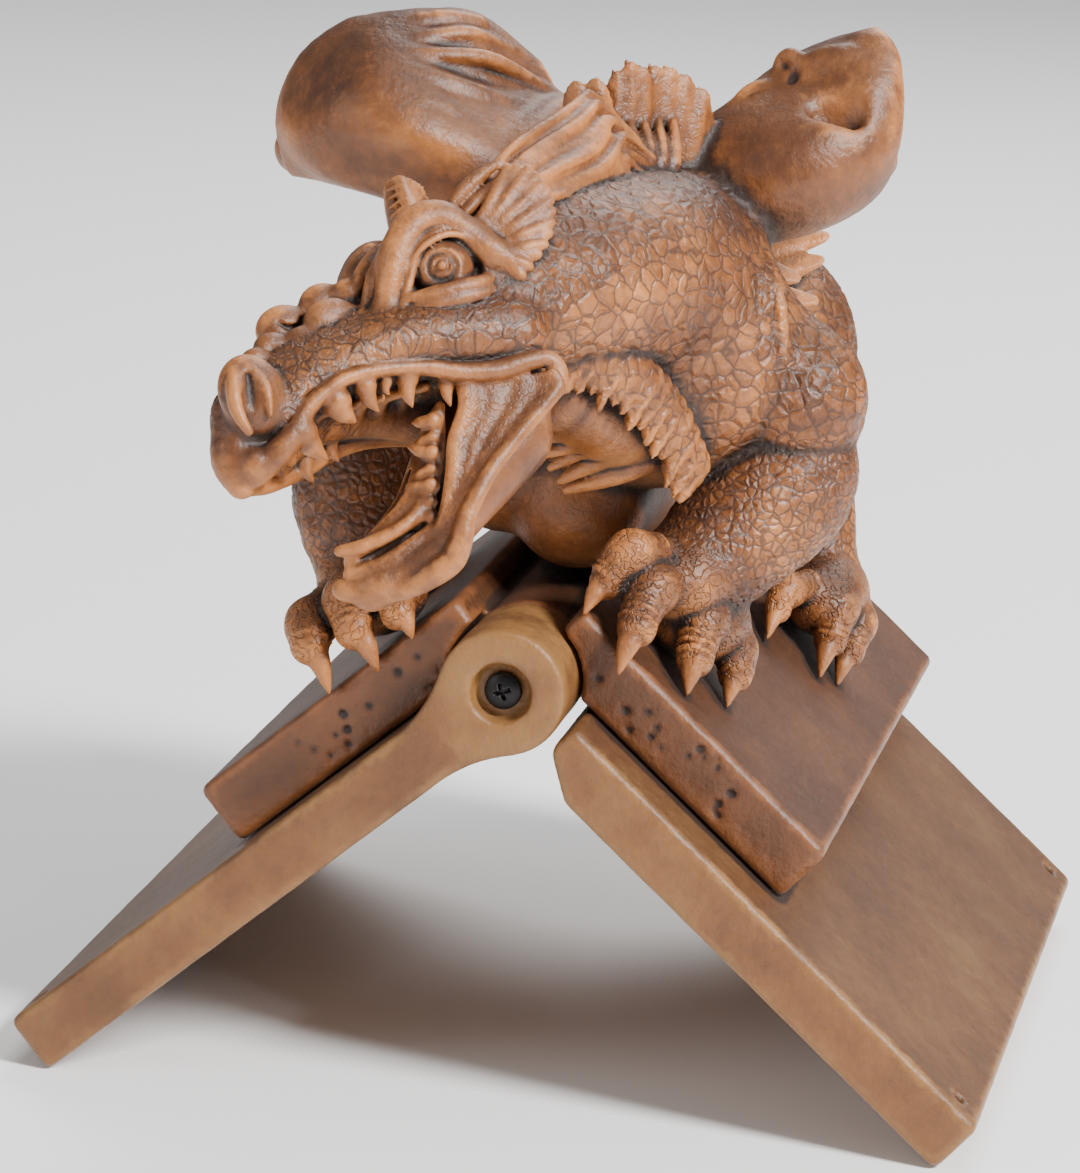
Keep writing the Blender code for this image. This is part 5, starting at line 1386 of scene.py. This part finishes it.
class DragonColours(bpy.types.PropertyGroup):
    """Colours of the castings."""

    deep: bpy.props.FloatVectorProperty(
        name="Deep Copper", description="Darkest tone of the figure", size=4, subtype="COLOR",
        default=(0.070, 0.020, 0.005, 1.0), min=0.0, max=1.0)
    copper: bpy.props.FloatVectorProperty(
        name="Copper", description="Middle tone of the figure", size=4, subtype="COLOR",
        default=(0.215, 0.069, 0.016, 1.0), min=0.0, max=1.0)
    rosy: bpy.props.FloatVectorProperty(
        name="Rosy Copper", description="Lightest tone of the figure", size=4, subtype="COLOR",
        default=(0.44, 0.160, 0.043, 1.0), min=0.0, max=1.0)
    dust: bpy.props.FloatVectorProperty(
        name="Dust", description="Pale dust on what faces up", size=4, subtype="COLOR",
        default=(0.52, 0.32, 0.185, 1.0), min=0.0, max=1.0)
    saddle: bpy.props.FloatVectorProperty(
        name="Saddle", description="Dark brown of the saddle", size=4, subtype="COLOR",
        default=(0.125, 0.043, 0.013, 1.0), min=0.0, max=1.0)
    terracotta: bpy.props.FloatVectorProperty(
        name="Terracotta", description="Middle tone of the leaves", size=4, subtype="COLOR",
        default=(0.180, 0.069, 0.019, 1.0), min=0.0, max=1.0)
    ochre: bpy.props.FloatVectorProperty(
        name="Ochre", description="Stains on the leaves", size=4, subtype="COLOR",
        default=(0.225, 0.106, 0.031, 1.0), min=0.0, max=1.0)
    steel: bpy.props.FloatVectorProperty(
        name="Steel", description="Blackened steel of the screws", size=4, subtype="COLOR",
        default=(0.022, 0.021, 0.021, 1.0), min=0.0, max=1.0)


def darker(colour, share):
    """A colour scaled down or up."""
    return tuple(min(1.0, part * share) for part in colour[:3]) + (1.0,)


def finish(name):
    """The named finish, made once."""
    if name in bpy.data.materials:
        return bpy.data.materials[name]
    colours = bpy.context.scene.dragon_colours
    for shared, make in (("cracked plates", plates_group), ("patina and painted light", patina_and_painted_light_group)):
        if shared not in bpy.data.node_groups:
            make()
    if name == "patinated hide":
        tones = (tuple(colours.deep), tuple(colours.copper), tuple(colours.rosy))
        return cast_material(name, tones, tuple(colours.dust), 0.2, True)
    if name == "dark saddle":
        tones = (darker(colours.saddle, 0.7), tuple(colours.saddle), darker(colours.saddle, 1.5))
        return cast_material(name, tones, tuple(colours.dust), 0.35, False)
    if name == "stained terracotta":
        tones = (darker(colours.terracotta, 0.7), tuple(colours.terracotta),
                 tuple(colours.ochre))
        return cast_material(name, tones, tuple(colours.dust), 0.3, False)
    return steel_material(tuple(colours.steel))


def thinned(thing, most):
    """Drop triangles until a piece has no more than the given number."""
    thing.data.calc_loop_triangles()
    count = len(thing.data.loop_triangles)
    if count > most:
        step = thing.modifiers.new("thinned", "DECIMATE")
        step.ratio = most / count
        keep_result(thing)


def keep_result(thing):
    """Give a piece the mesh that its modifiers make, and clear them."""
    bpy.context.view_layer.update()
    graph = bpy.context.evaluated_depsgraph_get()
    mesh = bpy.data.meshes.new_from_object(thing.evaluated_get(graph))
    thing.modifiers.clear()
    thing.data = mesh
    mesh.shade_smooth()


def piece(mesh, name, body, node_name, finish_name, relief, most=None):
    """Make a mesh one finished piece that rides on a body and stands for a solid."""
    sizes = bpy.context.scene.dragon_sizes
    thing = bpy.data.objects.new(name, mesh)
    bpy.context.scene.collection.objects.link(thing)
    thinned(thing, most or sizes.most_triangles)
    mesh = thing.data
    mesh.materials.clear()
    mesh.materials.append(finish(finish_name))
    if relief:
        tree = bpy.data.node_groups.get("hide relief") or relief_tree()
        step = thing.modifiers.new("relief", "NODES")
        step.node_group = tree
        values = {"Plate Size": sizes.plate_size, "Small Plate Size": sizes.small_plate_size,
                  "Crack Depth": sizes.crack_depth, "Unevenness": sizes.unevenness,
                  "Finish": finish(finish_name)}
        for entry in tree.interface.items_tree:
            if entry.in_out == "INPUT" and entry.name in values:
                step[entry.identifier] = values[entry.name]
        keep_result(thing)
    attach(thing, body)
    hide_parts(node_name)
    return thing


def grain(step):
    return step / MM * 1.0


def figure_piece(name, block, step, zone):
    """Model a block of the figure and make it a piece."""
    mesh = figure_block(name, block, grain(step), zone)
    piece(mesh, name, "dragon", "dragon_and_saddle", "patinated hide", True)


class DRAGON_OT_head(bpy.types.Operator):
    """Model the head with its gaping mouth"""

    bl_idname = "dragon.head"
    bl_label = "Dragon Head"

    def execute(self, context):
        figure_piece("head", HEAD_BLOCK, context.scene.dragon_sizes.head_grain, outside_head)
        return {"FINISHED"}


class DRAGON_OT_front(bpy.types.Operator):
    """Model the neck, the wings and the forelegs"""

    bl_idname = "dragon.front"
    bl_label = "Neck, Wings and Forelegs"

    def execute(self, context):
        figure_piece("neck_wings_and_forelegs", FRONT_BLOCK,
                     context.scene.dragon_sizes.body_grain, outside_middle)
        return {"FINISHED"}


class DRAGON_OT_rump(bpy.types.Operator):
    """Model the haunches, the tail and the wings' backs"""

    bl_idname = "dragon.rump"
    bl_label = "Rump and Tail"

    def execute(self, context):
        figure_piece("rump_and_tail", RUMP_BLOCK, context.scene.dragon_sizes.body_grain,
                     ahead_of_waist)
        return {"FINISHED"}


class DRAGON_OT_saddle(bpy.types.Operator):
    """Model the saddle that the figure is cast with"""

    bl_idname = "dragon.saddle"
    bl_label = "Saddle"

    def execute(self, context):
        mesh = saddle_block(grain(context.scene.dragon_sizes.plate_grain))
        piece(mesh, "saddle", "dragon", "dragon_and_saddle", "dark saddle",
              True, SADDLE_TRIANGLES)
        return {"FINISHED"}


class DRAGON_OT_leaves(bpy.types.Operator):
    """Model the two leaves that lie on the roof's slopes"""

    bl_idname = "dragon.leaves"
    bl_label = "Roof Leaves"

    def execute(self, context):
        step = grain(context.scene.dragon_sizes.plate_grain)
        for node_name in ("left_leaf", "right_leaf"):
            piece(leaf_block(node_name, step), node_name + "_casting", node_name + "_body",
                  node_name, "stained terracotta", True, LEAF_TRIANGLES)
        return {"FINISHED"}


class DRAGON_OT_screws(bpy.types.Operator):
    """Model the two hinge screws"""

    bl_idname = "dragon.screws"
    bl_label = "Hinge Screws"

    def execute(self, context):
        for node_name in ("front_hinge_screw", "rear_hinge_screw"):
            mesh = screw_block(node_name.startswith("front"),
                               grain(context.scene.dragon_sizes.head_grain) * SCREW_GRAIN)
            piece(mesh, node_name + "_steel", "dragon", node_name,
                  "blackened steel", False, SCREW_TRIANGLES)
        return {"FINISHED"}


class DRAGON_OT_stage(bpy.types.Operator):
    """Lay the pale floor and set the soft lamps and the camera"""

    bl_idname = "dragon.stage"
    bl_label = "Studio"

    def execute(self, context):
        set_stage(context)
        return {"FINISHED"}


def set_stage(context):
    """Pale floor, soft studio light and the camera."""
    world = bpy.data.worlds.new("studio")
    context.scene.world = world
    world.use_nodes = True
    sky = world.node_tree.nodes["Background"].inputs
    sky["Color"].default_value = (1.0, 1.0, 1.0, 1.0)
    sky["Strength"].default_value = SKY_STRENGTH
    corners = [(x * FLOOR_REACH, y * FLOOR_REACH, -FLOOR_DROP)
               for x, y in ((-1, -1), (1, -1), (1, 1), (-1, 1))]
    floor_mesh = bpy.data.meshes.new("floor")
    floor_mesh.from_pydata(corners, [], [(0, 1, 2, 3)])
    floor = bpy.data.objects.new("floor", floor_mesh)
    context.scene.collection.objects.link(floor)
    made, _tree, shader = new_material("pale floor")
    shader.inputs["Base Color"].default_value = (FLOOR_TONE, FLOOR_TONE, FLOOR_TONE, 1.0)
    shader.inputs["Roughness"].default_value = 0.9
    floor_mesh.materials.append(made)
    for name, place, size, energy in LAMPS:
        light = bpy.data.lights.new(name, "AREA")
        light.size = size
        light.energy = energy
        lamp = bpy.data.objects.new(name, light)
        lamp.location = place
        aim = Vector(LAMP_AIM) - Vector(place)
        lamp.rotation_euler = aim.to_track_quat("-Z", "Y").to_euler()
        context.scene.collection.objects.link(lamp)
    camera = bpy.data.cameras.new("camera")
    camera.sensor_width = 36.0
    camera.lens = CAMERA_LENS
    camera.clip_end = 20.0
    view = bpy.data.objects.new("camera", camera)
    turn = Matrix((CAMERA_RIGHT, CAMERA_UP, CAMERA_BACK)).transposed().to_4x4()
    spot = Vector((CAMERA_PLACE[0], FRONT_Y + CAMERA_PLACE[1], HINGE_Z + CAMERA_PLACE[2]))
    view.matrix_world = Matrix.Translation(spot) @ turn
    context.scene.collection.objects.link(view)
    context.scene.camera = view


class DRAGON_PT_panel(bpy.types.Panel):
    """Sizes, colours and building steps"""

    bl_label = "Dragon"
    bl_idname = "DRAGON_PT_panel"
    bl_space_type = "VIEW_3D"
    bl_region_type = "UI"
    bl_category = "Dragon"

    def draw(self, context):
        for settings in (context.scene.dragon_sizes, context.scene.dragon_colours):
            box = self.layout.box()
            for name in settings.bl_rna.properties.keys():
                if name not in ("rna_type", "name"):
                    box.prop(settings, name)
        for step in STEPS:
            self.layout.operator(step.bl_idname)


STEPS = (DRAGON_OT_head, DRAGON_OT_front, DRAGON_OT_rump, DRAGON_OT_saddle, DRAGON_OT_leaves,
         DRAGON_OT_screws, DRAGON_OT_stage)
CLASSES = (DragonSizes, DragonColours) + STEPS + (DRAGON_PT_panel,)


def register():
    """Add the operators, the panel and the settings."""
    for kind in CLASSES:
        bpy.utils.register_class(kind)
    bpy.types.Scene.dragon_sizes = bpy.props.PointerProperty(type=DragonSizes)
    bpy.types.Scene.dragon_colours = bpy.props.PointerProperty(type=DragonColours)


def unregister():
    """Take them away again."""
    del bpy.types.Scene.dragon_colours
    del bpy.types.Scene.dragon_sizes
    for kind in reversed(CLASSES):
        bpy.utils.unregister_class(kind)


def main():
    """Build the sculpture and the studio."""
    register()
    bpy.ops.dragon.head()
    bpy.ops.dragon.front()
    bpy.ops.dragon.rump()
    bpy.ops.dragon.saddle()
    bpy.ops.dragon.leaves()
    bpy.ops.dragon.screws()
    bpy.ops.dragon.stage()


if __name__ == "__main__":
    main()
